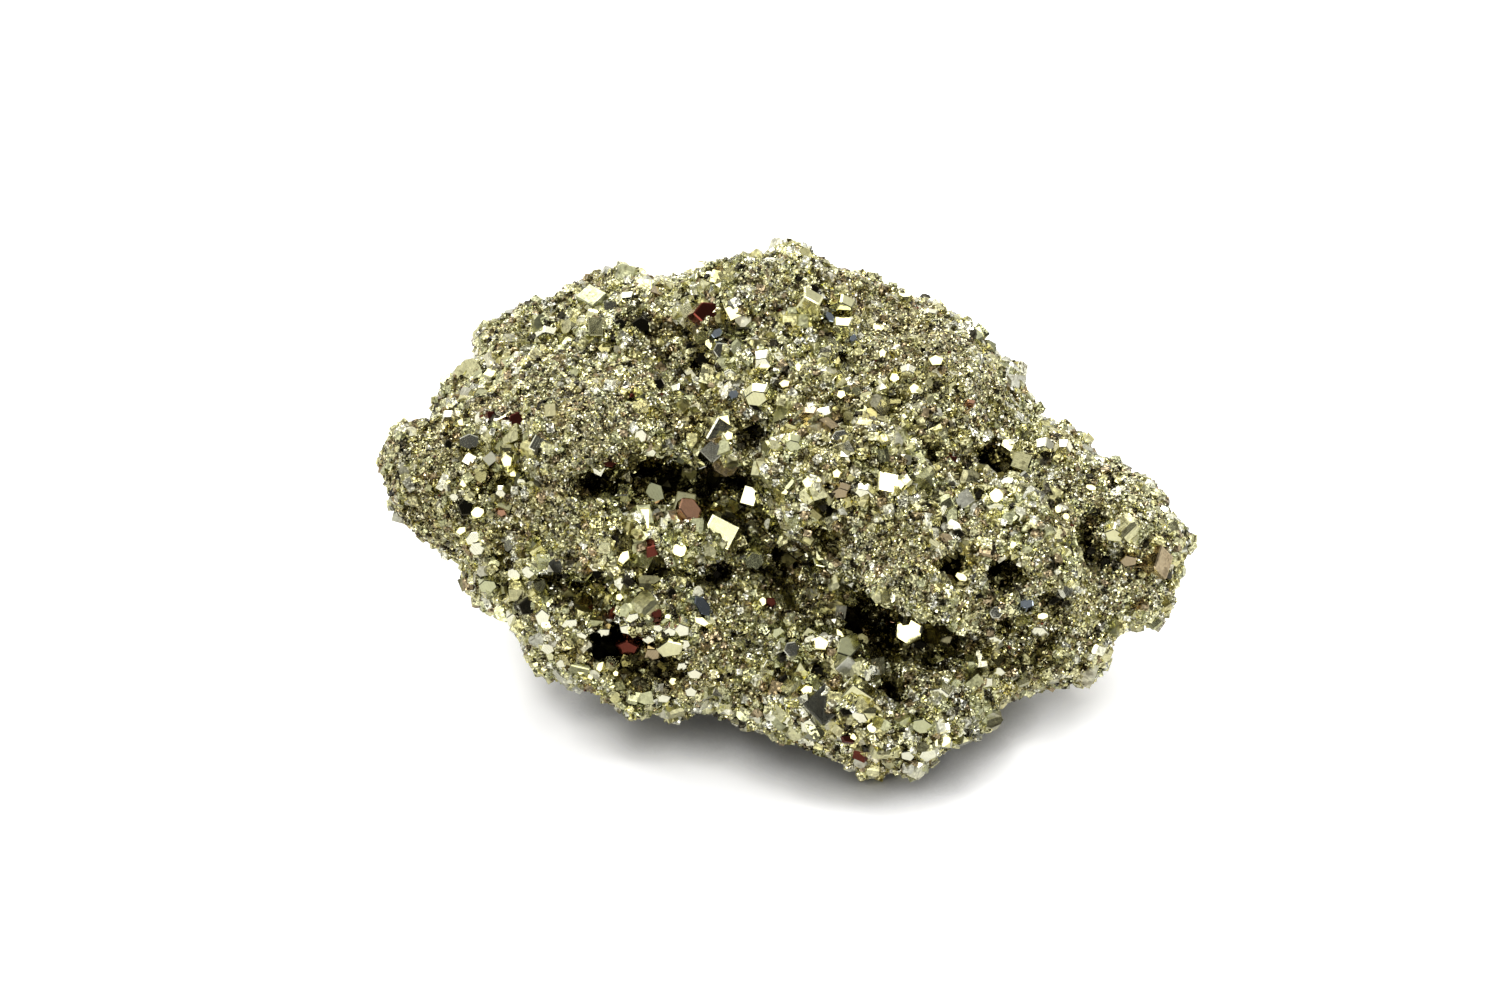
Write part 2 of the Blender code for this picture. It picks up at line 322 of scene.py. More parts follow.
def seen_at(tree: BVHTree, view: View, across: float, down: float) -> tuple[Array, Array]:
    """Finds the place on a surface that is seen at a place in the picture.

    Args:
        tree: The surface.
        view: The camera's view.
        across: Pixels from the picture's left side.
        down: Pixels from its top.

    Returns:
        The place on the surface and the surface's normal there.
    """
    place, normal, _, _ = tree.ray_cast(view.place, view.towards(across, down))
    if place is None:
        raise ValueError(f"nothing is seen at {across}, {down}")
    return np.array(place), np.array(normal)


@dataclass(frozen=True)
class Spot:
    """A round spot on the lump.

    Attributes:
        across: Where its middle is seen, in pixels from the picture's left side.
        down: The same, from the picture's top.
        reach: How far it goes, in millimetres.
    """

    across: float
    down: float
    reach: float

    def seat(self, tree: BVHTree, view: View) -> Array:
        """Where its middle lies on a surface."""
        return seen_at(tree, view, self.across, self.down)[0]

    def far(self, places: Array, seat: Array) -> Array:
        """How far places lie from its middle, as shares of its reach."""
        return np.linalg.norm(places - seat, axis=1) / (self.reach * MM)


# ---------------------------------------------------------------------------------------------------
# Finish
# ---------------------------------------------------------------------------------------------------


class Tone(Enum):
    """The colours that crystal faces have, as linear red, green and blue."""

    BRASS = (0.62, 0.60, 0.345)
    GOLD = (0.66, 0.62, 0.30)
    PALE = (0.77, 0.755, 0.57)
    OLIVE = (0.47, 0.475, 0.275)
    GREY = (0.54, 0.535, 0.43)
    BROWN = (0.34, 0.27, 0.16)
    COPPER = (0.36, 0.20, 0.12)
    # Painted reflection: the dark red of something warm that a few faces mirror.
    RED = (0.11, 0.028, 0.018)
    BLUE = (0.21, 0.24, 0.265)
    # Painted reflection: the near black of the dark room that some faces mirror.
    BLACK = (0.05, 0.045, 0.03)


@dataclass(frozen=True)
class ToneMix:
    """How often each tone comes up.

    Attributes:
        shares: Each tone's weight.
        spread: How far one crystal's colour may be from its tone.
    """

    shares: dict[Tone, float]
    spread: float = 0.10

    def pick(self, count: int, chance: np.random.Generator) -> Array:
        """Draws a colour for each crystal.

        Args:
            count: How many crystals.
            chance: The source of random numbers.

        Returns:
            One row of red, green and blue for each crystal.
        """
        colours = np.array([tone.value for tone in self.shares])
        weights = np.array(list(self.shares.values()))
        picked = colours[chance.choice(len(colours), count, p=weights / weights.sum())]
        return picked * (1 + self.spread * chance.uniform(-1, 1, (count, 1)))


# The black and red shares are painted reflections, among crystals of the lump's own tones.
GRAIN_TONES = ToneMix({
    Tone.BRASS: 0.31, Tone.GOLD: 0.14, Tone.PALE: 0.16, Tone.OLIVE: 0.10,
    Tone.GREY: 0.09, Tone.BROWN: 0.13, Tone.RED: 0.002, Tone.BLACK: 0.075,
})
BLOCK_TONES = ToneMix({
    Tone.BRASS: 0.33, Tone.GOLD: 0.10, Tone.PALE: 0.18, Tone.OLIVE: 0.18,
    Tone.GREY: 0.10, Tone.BROWN: 0.04, Tone.RED: 0.001, Tone.BLACK: 0.01,
})


def join(tree: bpy.types.NodeTree, node: bpy.types.Node, links: Links) -> None:
    """Joins or sets the inputs of a node.

    Args:
        tree: The node tree.
        node: The node.
        links: What each input, by name or number, is joined to or set to.
    """
    for key, value in links.items():
        if isinstance(value, bpy.types.NodeSocket):
            tree.links.new(value, node.inputs[key])
        else:
            node.inputs[key].default_value = value


def add_node(
    tree: bpy.types.NodeTree, kind: str, links: Links | None = None, **settings: object
) -> bpy.types.Node:
    """Adds a node to a tree, sets it up and joins its inputs.

    Args:
        tree: The node tree.
        kind: The node's type, without its ShaderNode prefix.
        links: What each input, by name or number, is joined to or set to.
        **settings: The node's own settings.

    Returns:
        The node.
    """
    node = tree.nodes.new("ShaderNode" + kind)
    for name, value in settings.items():
        setattr(node, name, value)
    join(tree, node, links or {})
    return node


class NodeGroup:
    """A shader node group with named inputs and outputs."""

    def __init__(self, name: str, inputs: dict[str, float | None], outputs: dict[str, str]) -> None:
        """Makes the group.

        Args:
            name: The group's name.
            inputs: Each input's name and value, or nothing where it is a colour.
            outputs: Each output's name and kind, such as Float.
        """
        self.tree = bpy.data.node_groups.new(name, "ShaderNodeTree")
        for label, value in inputs.items():
            kind = "NodeSocketColor" if value is None else "NodeSocketFloat"
            socket = self.tree.interface.new_socket(label, in_out="INPUT", socket_type=kind)
            if value is not None:
                socket.default_value = value
        for label, kind in outputs.items():
            self.tree.interface.new_socket(label, in_out="OUTPUT", socket_type="NodeSocket" + kind)
        self.start = self.tree.nodes.new("NodeGroupInput")
        self.end = self.tree.nodes.new("NodeGroupOutput")

    def given(self, label: str) -> bpy.types.NodeSocket:
        """One of the group's own inputs."""
        return self.start.outputs[label]

    def node(self, kind: str, links: Links | None = None, **settings: object) -> bpy.types.Node:
        """Adds a node to the group. See add_node."""
        return add_node(self.tree, kind, links, **settings)

    def put_out(self, label: str, socket: bpy.types.NodeSocket) -> None:
        """Joins a socket to one of the group's outputs."""
        self.tree.links.new(socket, self.end.inputs[label])


def make_glitter() -> NodeGroup:
    """Makes the group that breaks a face into small flat facets, each tilted its own way.

    Returns:
        The group.
    """
    group = NodeGroup("glitter", {"Scale": 2500.0, "Tilt": 0.5}, {"Normal": "Vector", "Shade": "Float"})
    place = group.node("TexCoord").outputs["Object"]
    cells = group.node("TexVoronoi", {"Vector": place, "Scale": group.given("Scale")}).outputs["Color"]
    centred = group.node("VectorMath", {0: cells, 1: (0.5, 0.5, 0.5)}, operation="SUBTRACT")
    tilt = group.node("VectorMath", {0: centred.outputs[0], "Scale": group.given("Tilt")}, operation="SCALE")
    face = group.node("NewGeometry").outputs["Normal"]
    tilted = group.node("VectorMath", {0: face, 1: tilt.outputs[0]}, operation="ADD")
    unit = group.node("VectorMath", {0: tilted.outputs[0]}, operation="NORMALIZE")
    group.put_out("Normal", unit.outputs[0])
    group.put_out("Shade", group.node("SeparateColor", {"Color": cells}).outputs["Red"])
    return group


def make_tarnish_and_painted_shade() -> NodeGroup:
    """Makes the group that stains the metal brown in patches, and paints shade into it: warm and dark in
    hollows, black in small pits.

    Returns:
        The group.
    """
    inputs = {"Colour": None, "Openness": 1.0, "Stain": 0.4, "Scale": 250.0, "Pits": 0.0}
    group = NodeGroup("tarnish_and_painted_shade", inputs, {"Colour": "Color"})
    colours = {"data_type": "RGBA", "blend_type": "MULTIPLY"}
    place = group.node("TexCoord").outputs["Object"]
    openness = group.given("Openness")
    cloud = group.node(
        "TexNoise", {"Vector": place, "Scale": group.given("Scale"), "Detail": 3.0, "Roughness": 0.6}
    )
    patch = group.node("MapRange", {"Value": cloud.outputs["Fac"], "From Min": 0.50, "From Max": 0.68})
    amount = group.node("Math", {0: patch.outputs["Result"], 1: group.given("Stain")}, operation="MULTIPLY")
    stain = {"Factor": amount.outputs[0], "A": group.given("Colour"), "B": (0.72, 0.60, 0.46, 1.0)}
    stained = group.node("Mix", links=stain, **colours).outputs["Result"]
    # Painted shade: the colour turns warmer and darker where the lump is less open.
    painted_hollow_warmth = {"Factor": openness, "A": (1.0, 0.89, 0.46, 1.0), "B": (1.0, 1.0, 1.0, 1.0)}
    warm = group.node("Mix", links=painted_hollow_warmth, data_type="RGBA").outputs["Result"]
    warmed = group.node("VectorMath", {0: stained, 1: warm}, operation="MULTIPLY")
    shade = group.node("VectorMath", {0: warmed.outputs[0], "Scale": openness}, operation="SCALE")
    # Painted shade: small black pits, drawn from a noise pattern.
    grain = group.node("TexNoise", {"Vector": place, "Scale": 1000.0, "Detail": 2.0, "Roughness": 0.7})
    pit = group.node(
        "MapRange", {"Value": grain.outputs["Fac"], "From Min": 0.57, "From Max": 0.63, "To Max": 0.9}
    )
    depth = group.node("Math", {0: pit.outputs["Result"], 1: group.given("Pits")}, operation="MULTIPLY")
    painted_pit_shade = {"Factor": depth.outputs[0], "A": shade.outputs[0], "B": (0.10, 0.075, 0.01, 1.0)}
    group.put_out("Colour", group.node("Mix", links=painted_pit_shade, **colours).outputs["Result"])
    return group


def make_stripes() -> NodeGroup:
    """Makes the group that gives a crystal face its fine growth stripes, as a height.

    Returns:
        The group.
    """
    group = NodeGroup("growth stripes", {"Count": 2.2, "Waver": 1.2}, {"Height": "Float"})
    links = {
        "Vector": group.node("UVMap").outputs["UV"],
        "Scale": group.given("Count"),
        "Distortion": group.given("Waver"),
        "Detail": 3.0,
        "Detail Scale": 1.5,
    }
    wave = group.node("TexWave", links, wave_type="BANDS", bands_direction="X", wave_profile="SAW")
    group.put_out("Height", wave.outputs["Fac"])
    return group


@dataclass(frozen=True)
class PyriteFinish:
    """The metal of one kind of piece.

    Attributes:
        name: The material's name.
        glitter: Size of the small facets, in facets a metre.
        tilt: How far the small facets lean.
        fleck: How much lighter or darker a small facet may be.
        stain: Strength of the brown tarnish.
        polish: Lowest and highest roughness.
        pits: How dark the painted shade of the small pits is, from 0 to 1.
        stripes: Depth of the growth stripes, in metres.
    """

    name: str
    glitter: float
    tilt: float
    fleck: float
    stain: float
    polish: tuple[float, float]
    pits: float
    stripes: float = 0.0

    def build(self, groups: dict[str, NodeGroup]) -> bpy.types.Material:
        """Makes the material.

        Args:
            groups: The shared node groups, by name.

        Returns:
            The material.
        """
        material = bpy.data.materials.new(self.name)
        material.use_nodes = True
        tree = material.node_tree
        trees = {name: group.tree for name, group in groups.items()}
        tone, openness, dullness = (
            add_node(tree, "Attribute", attribute_name=name) for name in ("tone", "openness", "dullness")
        )
        glitter = add_node(tree, "Group", {"Scale": self.glitter, "Tilt": self.tilt}, node_tree=trees["glitter"])
        light = {"Value": glitter.outputs["Shade"], "To Min": 1 - self.fleck, "To Max": 1 + self.fleck}
        shade = add_node(tree, "MapRange", light).outputs["Result"]
        flecked = add_node(tree, "VectorMath", {0: tone.outputs["Color"], "Scale": shade}, operation="SCALE")
        # The openness darkens the colour in the group: painted shade in hollows, nooks and gaps.
        stain = {"Colour": flecked.outputs[0], "Openness": openness.outputs["Fac"]}
        stain |= {"Stain": self.stain, "Pits": self.pits}
        tarnish_and_painted_shade = add_node(tree, "Group", stain, node_tree=trees["tarnish_and_painted_shade"])
        low, high = self.polish
        roughness = add_node(tree, "MapRange", {"Value": dullness.outputs["Fac"], "To Min": low, "To Max": high})
        normal = glitter.outputs["Normal"]
        if self.stripes:
            height = add_node(tree, "Group", node_tree=trees["stripes"]).outputs["Height"]
            bump = {"Height": height, "Normal": normal, "Distance": self.stripes}
            normal = add_node(tree, "Bump", bump).outputs["Normal"]
        finish = {"Metallic": 1.0, "Base Color": tarnish_and_painted_shade.outputs["Colour"], "Normal": normal}
        join(tree, tree.nodes["Principled BSDF"], finish | {"Roughness": roughness.outputs["Result"]})
        return material


FINISHES = {
    "skin": PyriteFinish("broken pyrite", 4500.0, 1.2, 0.4, 0.5, (0.14, 0.40), 1.0),
    "grain": PyriteFinish("pyrite grain", 7000.0, 0.8, 0.6, 0.4, (0.12, 0.36), 0.9),
    "crystal": PyriteFinish("pyrite crystal", 5000.0, 0.09, 0.22, 0.35, (0.10, 0.32), 0.5, 0.020 * MM),
    "face": PyriteFinish("pyrite face", 4000.0, 0.02, 0.06, 0.2, (0.05, 0.16), 0.0, 0.004 * MM),
}


# ---------------------------------------------------------------------------------------------------
# Fine and coarse parts
# ---------------------------------------------------------------------------------------------------


@dataclass(frozen=True)
class Patch(Spot):
    """A part of the lump whose crystals are finer or coarser than elsewhere.

    Attributes:
        coarseness: What it adds to the lump's coarseness at its middle.
    """

    coarseness: float


PATCHES = tuple(Patch(*row) for rows in {
    "dome": (
        (570, 420, 6.0, -1.3), (640, 400, 5.0, -0.9), (560, 520, 5.0, -1.1), (540, 335, 5.0, -0.2),
    ),
    "left wing": (
        (410, 480, 5.0, -1.2), (445, 540, 4.0, -0.9), (492, 478, 3.6, 1.6), (510, 575, 3.5, 1.0),
    ),
    "left foot": (
        (560, 590, 4.0, 0.6), (620, 640, 5.0, 0.9), (600, 690, 3.0, -0.2),
    ),
    "hollow": (
        (650, 500, 6.0, 1.2), (720, 510, 4.0, 1.3), (650, 550, 5.0, 0.8), (700, 450, 4.0, 1.0),
    ),
    "middle slope": (
        (730, 585, 5.0, -0.6),
    ),
    "front": (
        (830, 650, 5.0, 1.2), (830, 700, 5.0, 1.0), (900, 690, 3.0, -1.2), (780, 720, 3.5, 0.2),
        (940, 740, 3.0, 0.6),
    ),
    "knob over the crevice": (
        (880, 570, 4.0, -1.2),
    ),
    "right slope": (
        (960, 610, 5.0, -0.5), (1060, 600, 5.0, -0.5),
    ),
    "middle": (
        (810, 410, 5.0, 0.3), (910, 440, 5.0, 0.4), (980, 480, 5.0, 0.3),
    ),
    "summit": (
        (825, 320, 4.0, 1.1), (710, 320, 4.0, 0.7), (770, 262, 3.0, -0.5),
    ),
    "back ridge": (
        (915, 320, 7.0, -1.3), (980, 365, 5.0, -0.9),
    ),
    "right wing": (
        (1120, 500, 5.0, -0.6), (1150, 570, 4.0, -0.4),
    ),
}.values() for row in rows)


@dataclass
class Coarseness:
    """How coarse the crystals are over the lump, from about -1.5, sugary, to 1.5, blocky.

    Attributes:
        tree: The lump's surface.
        view: The view in which the patches are placed.
        edge: How many reaches from its middle a patch ends.
        waves: Way, start and height of each wave of the change between fine and coarse.
    """

    tree: BVHTree
    view: View
    edge: float = 1.35
    waves: tuple[tuple[Triple, float, float], ...] = (
        ((680, 260, 180), 0.3, 0.30),
        ((-310, 570, 420), 1.9, 0.30),
        ((200, -460, 730), 4.0, 0.30),
        ((900, 730, -550), 5.1, 0.30),
        ((1500, -900, 700), 2.2, 0.35),
        ((-1100, -1300, 900), 0.8, 0.35),
        ((700, 1200, 1700), 3.4, 0.35),
    )

    def at(self, places: Array) -> Array:
        """Works out the coarseness at each place.

        Args:
            places: The places, one row each.

        Returns:
            One number each.
        """
        level = np.zeros(len(places))
        for way, phase, height in self.waves:
            level += height * np.sin(places @ np.array(way) + phase)
        for patch in PATCHES:
            far = patch.far(places, patch.seat(self.tree, self.view))
            level += patch.coarseness * np.clip(self.edge - far, 0, 1)
        return level


# ---------------------------------------------------------------------------------------------------
# The skin
# ---------------------------------------------------------------------------------------------------


@dataclass(frozen=True)
class Swell(Spot):
    """A low swell of the skin, or a hollow where its height is below zero.

    Attributes:
        height: Its height, in millimetres.
        light: How light the colour is at its middle: below one where shade is painted, above one where light is
            painted.
    """

    height: float
    light: float = 1.0


# The light of a swell is painted into the colour of the skin and of the crystals grown on it: below one it is
# painted shade, above one painted light.
SWELLS = tuple(Swell(*row) for rows in {
    "crevice": (
        (812, 597, 3.4, 4.5, 2.6), (880, 568, 3.4, 0.9), (868, 588, 2.6, 3.4, 1.8), (928, 640, 2.8, 3.0),
        (965, 640, 3.4, 4.0), (1005, 640, 3.4, 4.2), (1040, 642, 2.8, 2.0), (838, 606, 2.2, 3.5),
    ),
    "front": (
        (874, 652, 1.1, -2.0, 0.35), (880, 686, 1.1, -2.6, 0.3), (906, 690, 2.6, 0.9, 1.4),
        (795, 642, 2.6, 0.4), (787, 681, 0.9, -1.6, 0.5), (821, 671, 0.9, -1.4, 0.5),
    ),
    "left foot": (
        (638, 636, 2.2, 3.4), (588, 650, 1.7, -2.6, 0.6), (616, 658, 2.0, -4.0, 0.4),
        (645, 665, 2.1, -4.2, 0.2), (670, 670, 1.8, -3.6, 0.3), (566, 588, 2.4, 1.3),
    ),
    "right wing and slope": (
        (1096, 535, 2.2, -1.3), (1094, 518, 1.1, -0.5, 0.6), (1097, 550, 1.1, -0.5, 0.6),
        (1006, 566, 1.2, -0.3, 0.5), (1053, 600, 1.1, -1.5, 0.35), (985, 612, 3.2, 0.5),
        (962, 568, 1.9, 3.0), (940, 570, 1.2, -2.4, 0.2), (994, 465, 1.6, -1.0, 0.7),
    ),
    "small holes": (
        (930, 453, 1.1, -1.1, 0.5), (659, 570, 1.0, -1.4, 0.4), (830, 540, 1.4, -1.5, 0.2),
        (552, 573, 1.1, -1.3, 0.5), (500, 558, 1.0, -1.0, 0.5), (638, 324, 0.9, -1.3, 0.6),
        (704, 356, 1.0, -0.9, 0.7), (757, 432, 1.1, -1.2, 0.5), (842, 413, 1.2, -1.1, 0.5),
        (825, 508, 1.1, -1.2, 0.5), (897, 404, 1.3, -1.2, 0.5),
    ),
    # Painted shade: dark spots in the hollow, the crevice and on the left wing.
    "painted_shade_and_light": (
        (592, 484, 1.5, -0.5, 0.05), (614, 489, 0.9, 0.0, 0.1), (652, 468, 1.2, 0.0, 0.12),
        (680, 476, 1.2, 0.0, 0.1), (728, 480, 1.4, -0.4, 0.05), (748, 482, 1.2, -0.3, 0.07),
        (766, 522, 1.1, -0.4, 0.2), (779, 561, 1.3, -0.8, 0.15), (856, 612, 1.1, -0.6, 0.3),
        (884, 628, 1.3, -0.4, 0.3), (503, 484, 1.0, -0.8, 0.5), (470, 446, 1.0, -0.6, 0.5),
    ),
    # Painted light on the slopes.
    "painted light on slopes": (
        (712, 592, 3.2, 0.0, 1.7), (752, 604, 3.0, 0.0, 1.7), (800, 645, 3.0, 0.0, 1.5),
        (850, 705, 3.6, 0.0, 1.4), (930, 715, 3.2, 0.0, 1.4),
    ),
    # Painted shade: broad darker patches.
    "tarnish_and_painted_shade": (
        (430, 490, 6.0, 0.0, 0.82), (470, 370, 5.0, 0.0, 0.90), (930, 320, 7.0, 0.0, 0.88),
        (870, 440, 6.0, 0.0, 0.86), (700, 420, 2.2, 0.0, 0.74), (490, 590, 3.4, 0.0, 0.80),
        (500, 460, 2.2, 0.0, 0.86), (580, 380, 1.8, 0.0, 0.88), (780, 420, 1.8, 0.0, 0.85),
        (940, 380, 2.2, 0.0, 0.80), (862, 500, 1.8, 0.0, 0.85), (900, 540, 1.8, 0.0, 0.85),
        (1038, 672, 2.0, 0.0, 0.80), (980, 664, 1.6, 0.0, 0.82),
    ),
    # Painted light: lighter spots.
    "painted light spots": (
        (700, 505, 1.5, 0.0, 1.6), (695, 587, 1.4, 0.0, 1.5), (904, 664, 1.3, 0.0, 1.6),
        (938, 668, 1.3, 0.0, 1.3),
    ),
    # Shallow hollows, with painted shade in them.
    "gaps": (
        (718, 575, 0.9, -1.2, 0.2), (622, 541, 0.9, -1.0, 0.25), (658, 565, 0.9, -1.0, 0.25),
        (648, 327, 0.9, -0.9, 0.3), (700, 363, 0.9, -0.9, 0.3), (757, 432, 0.9, -0.6, 0.4),
        (820, 668, 0.8, -0.6, 0.3), (980, 650, 0.9, -0.9, 0.3), (1003, 657, 1.0, -0.9, 0.3),
        (1026, 661, 1.0, -0.9, 0.3), (1045, 655, 0.9, -0.8, 0.35),
    ),
    "summit knobs": (
        (735, 278, 2.6, 0.4), (792, 264, 2.6, 0.1),
    ),
}.values() for row in rows)


@dataclass
class Skin:
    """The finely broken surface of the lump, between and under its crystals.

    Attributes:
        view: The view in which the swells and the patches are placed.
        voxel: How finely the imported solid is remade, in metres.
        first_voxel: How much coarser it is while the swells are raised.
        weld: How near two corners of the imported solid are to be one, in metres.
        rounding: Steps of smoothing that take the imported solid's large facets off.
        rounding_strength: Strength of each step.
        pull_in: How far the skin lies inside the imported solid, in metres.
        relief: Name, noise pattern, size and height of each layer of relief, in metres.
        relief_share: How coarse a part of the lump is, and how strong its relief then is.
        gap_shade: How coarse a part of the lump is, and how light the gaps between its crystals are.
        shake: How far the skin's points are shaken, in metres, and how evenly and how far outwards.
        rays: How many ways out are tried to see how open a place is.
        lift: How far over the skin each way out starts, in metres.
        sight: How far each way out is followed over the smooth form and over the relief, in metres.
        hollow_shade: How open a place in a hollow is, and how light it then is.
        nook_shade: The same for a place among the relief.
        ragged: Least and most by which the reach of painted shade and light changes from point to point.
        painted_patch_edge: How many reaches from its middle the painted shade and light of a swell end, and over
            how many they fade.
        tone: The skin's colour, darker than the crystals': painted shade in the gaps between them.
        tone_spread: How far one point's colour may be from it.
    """

    view: View = View()
    voxel: float = 0.335 * MM
    first_voxel: float = 1.5
    weld: float = 1e-6
    rounding: int = 5
    rounding_strength: float = 0.5
    pull_in: float = 0.16 * MM
    relief: tuple[tuple[str, str, float, float], ...] = (
        ("lumps", "VORONOI", 3.4 * MM, -1.7 * MM),
        ("knobs", "VORONOI", 1.2 * MM, -1.0 * MM),
        ("pits", "CLOUDS", 0.7 * MM, 0.34 * MM),
    )
    relief_share: Curve = ((-1.4, -0.4, 0.8), (0.25, 0.65, 1.0))
    gap_shade: Curve = ((-0.2, 1.0), (1.0, 0.20))
    shake: tuple[float, float] = (0.07 * MM, 0.6)
    rays: int = 12
    lift: float = 0.15 * MM
    sight: tuple[float, float] = (6.0 * MM, 1.4 * MM)
    hollow_shade: Curve = ((0.12, 0.30, 0.42), (0.03, 0.25, 1.0))
    nook_shade: Curve = ((0.25, 0.50, 0.80), (0.05, 0.32, 1.0))
    ragged: tuple[float, float] = (0.75, 1.45)
    painted_patch_edge: tuple[float, float] = (1.3, 0.5)
    tone: Triple = (0.38, 0.35, 0.20)
    tone_spread: float = 0.25
    piece: bpy.types.Object = field(init=False)
    points: Array = field(init=False)
    normals: Array = field(init=False)
    triangles: Array = field(init=False)
    openness: Array = field(init=False)
    level: Array = field(init=False)
    coarseness: Coarseness = field(init=False)
    tree: BVHTree = field(init=False)

    def remake(self, source: bpy.types.Object) -> None:
        """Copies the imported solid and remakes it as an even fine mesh.

        Args:
            source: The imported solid.
        """
        self.piece = put_in("broken_skin", source.data.copy())
        self.piece.data.name = "broken_skin"
        edit_all(self.piece, bpy.ops.mesh.remove_doubles, threshold=self.weld)
        apply_modifier(self.piece, "REMESH", mode="VOXEL", voxel_size=self.voxel * self.first_voxel)
        self.swell()
        apply_modifier(self.piece, "REMESH", mode="VOXEL", voxel_size=self.voxel)
        apply_modifier(self.piece, "SMOOTH", factor=self.rounding_strength, iterations=self.rounding)
        apply_modifier(self.piece, "DISPLACE", strength=-self.pull_in, mid_level=0.0)

    def swell(self) -> None:
        """Raises the swells and sinks the hollows."""
        mesh = self.piece.data
        places = points_of(mesh)
        tree = surface_of(places, triangles_of(mesh))
        middle = places.mean(axis=0)
        moves = np.zeros_like(places)
        for swell in SWELLS:
            seat = swell.seat(tree, self.view)
            far = swell.far(places, seat)
            outwards = (Vector(seat) - Vector(middle)).normalized() + self.view.back
            share = np.clip(1 - far * far, 0, 1) ** 2
            moves += np.array(outwards.normalized()) * (share * swell.height * MM)[:, None]
        move_points(mesh, places + moves)

    def measure(self) -> None:
        """Reads the form before its relief: points, normals, triangles, coarseness and openness."""
        mesh = self.piece.data
        self.points = points_of(mesh)
        self.normals = normals_of(mesh)
        self.triangles = triangles_of(mesh)
        self.openness = np.interp(self.look_out(self.points, self.sight[0]), *self.hollow_shade)
        self.coarseness = Coarseness(surface_of(self.points, self.triangles), self.view)
        self.level = self.coarseness.at(self.points)

    def look_out(self, points: Array, sight: float) -> Array:
        """Finds how open the lump is at each point: the share of ways out that meet nothing near.

        Args:
            points: The mesh's points as they are now.
            sight: How far each way out is followed.

        Returns:
            A share from 0 to 1 for each point.
        """
        tree = surface_of(points, self.triangles)
        ways = unit_rows(Seed.WAYS.start().normal(size=(self.rays, 3)))
        starts = points + self.normals * self.lift
        facing = self.normals @ ways.T
        signs = np.sign(facing)
        weights = np.abs(facing)
        met = np.ones_like(facing)
        for i, start in enumerate(starts.tolist()):
            for j in range(self.rays):
                met[i, j] = tree.ray_cast(start, ways[j] * signs[i, j], sight)[0] is None
        return (weights * met).sum(axis=1) / weights.sum(axis=1)

    def roughen(self) -> None:
        """Gives the skin its knobs, pits and small broken facets."""
        label = "relief"
        strength = self.piece.vertex_groups.new(name=label)
        for number, share in enumerate(np.interp(self.level, *self.relief_share).tolist()):
            strength.add([number], share, "REPLACE")
        for name, pattern, size, height in self.relief:
            texture = bpy.data.textures.new(name, pattern)
            texture.noise_scale = size
            noise = {"texture": texture, "texture_coords": "GLOBAL", "vertex_group": label, "mid_level": 0.5}
            apply_modifier(self.piece, "DISPLACE", strength=height, **noise)
        self.piece.vertex_groups.clear()
        reach, evenness = self.shake
        shake = {"offset": reach, "uniform": evenness, "normal": evenness, "seed": Seed.SHAKE.value}
        edit_all(self.piece, bpy.ops.transform.vertex_random, **shake)

    def shade(self) -> None:
        """Sets the skin on the ground and finds how light it is in its hollows and nooks, with painted shade and
        painted light.
        """
        places = points_of(self.piece.data)
        places[:, 2] = np.maximum(places[:, 2], 0.0)
        move_points(self.piece.data, places)
        self.tree = surface_of(places, self.triangles)
        narrow = np.interp(self.look_out(places, self.sight[1]), *self.nook_shade)
        self.openness = np.minimum(self.openness * narrow * self.painted_shade_and_light(places), 1.0)

    def painted_shade_and_light(self, places: Array) -> Array:
        """Works out the painted shade and the painted light around the listed swells.

        Args:
            places: The skin's points.

        Returns:
            A number for each point: below one in painted shade, above one in painted light.
        """
        light = np.ones(len(places))
        ragged = Seed.SOOT.start().uniform(*self.ragged, len(places))
        end, fade = self.painted_patch_edge
        for swell in SWELLS:
            if swell.light != 1:
                far = swell.far(places, swell.seat(self.tree, self.view)) * ragged
                light *= 1 - (1 - swell.light) * np.clip((end - far) / fade, 0, 1)
        return light

    def dress(self, material: bpy.types.Material) -> None:
        """Gives the skin its colour, its openness and its material.

        Args:
            material: The skin's material.
        """
        mesh = self.piece.data
        count = len(mesh.vertices)
        chance = Seed.SHADES.start()
        shade = 1 + self.tone_spread * chance.uniform(-1, 1, (count, 1))
        # Painted shade: the skin's dark tone stands for shade between the crystals, and the openness, lowered
        # between coarse crystals, darkens the colour in hollows and nooks.
        add_attribute(mesh, "tone", np.array([self.tone]) * shade)
        add_attribute(mesh, "openness", self.openness * np.interp(self.level, *self.gap_shade))
        add_attribute(mesh, "dullness", chance.uniform(0, 1, count))
        finish_flat(mesh, material)

    def build(self, source: bpy.types.Object, material: bpy.types.Material) -> bpy.types.Object:
        """Makes the skin.

        Args:
            source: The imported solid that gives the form.
            material: The skin's material.

        Returns:
            The skin's piece.
        """
        self.remake(source)
        self.measure()
        self.roughen()
        self.shade()
        self.dress(material)
        return self.piece

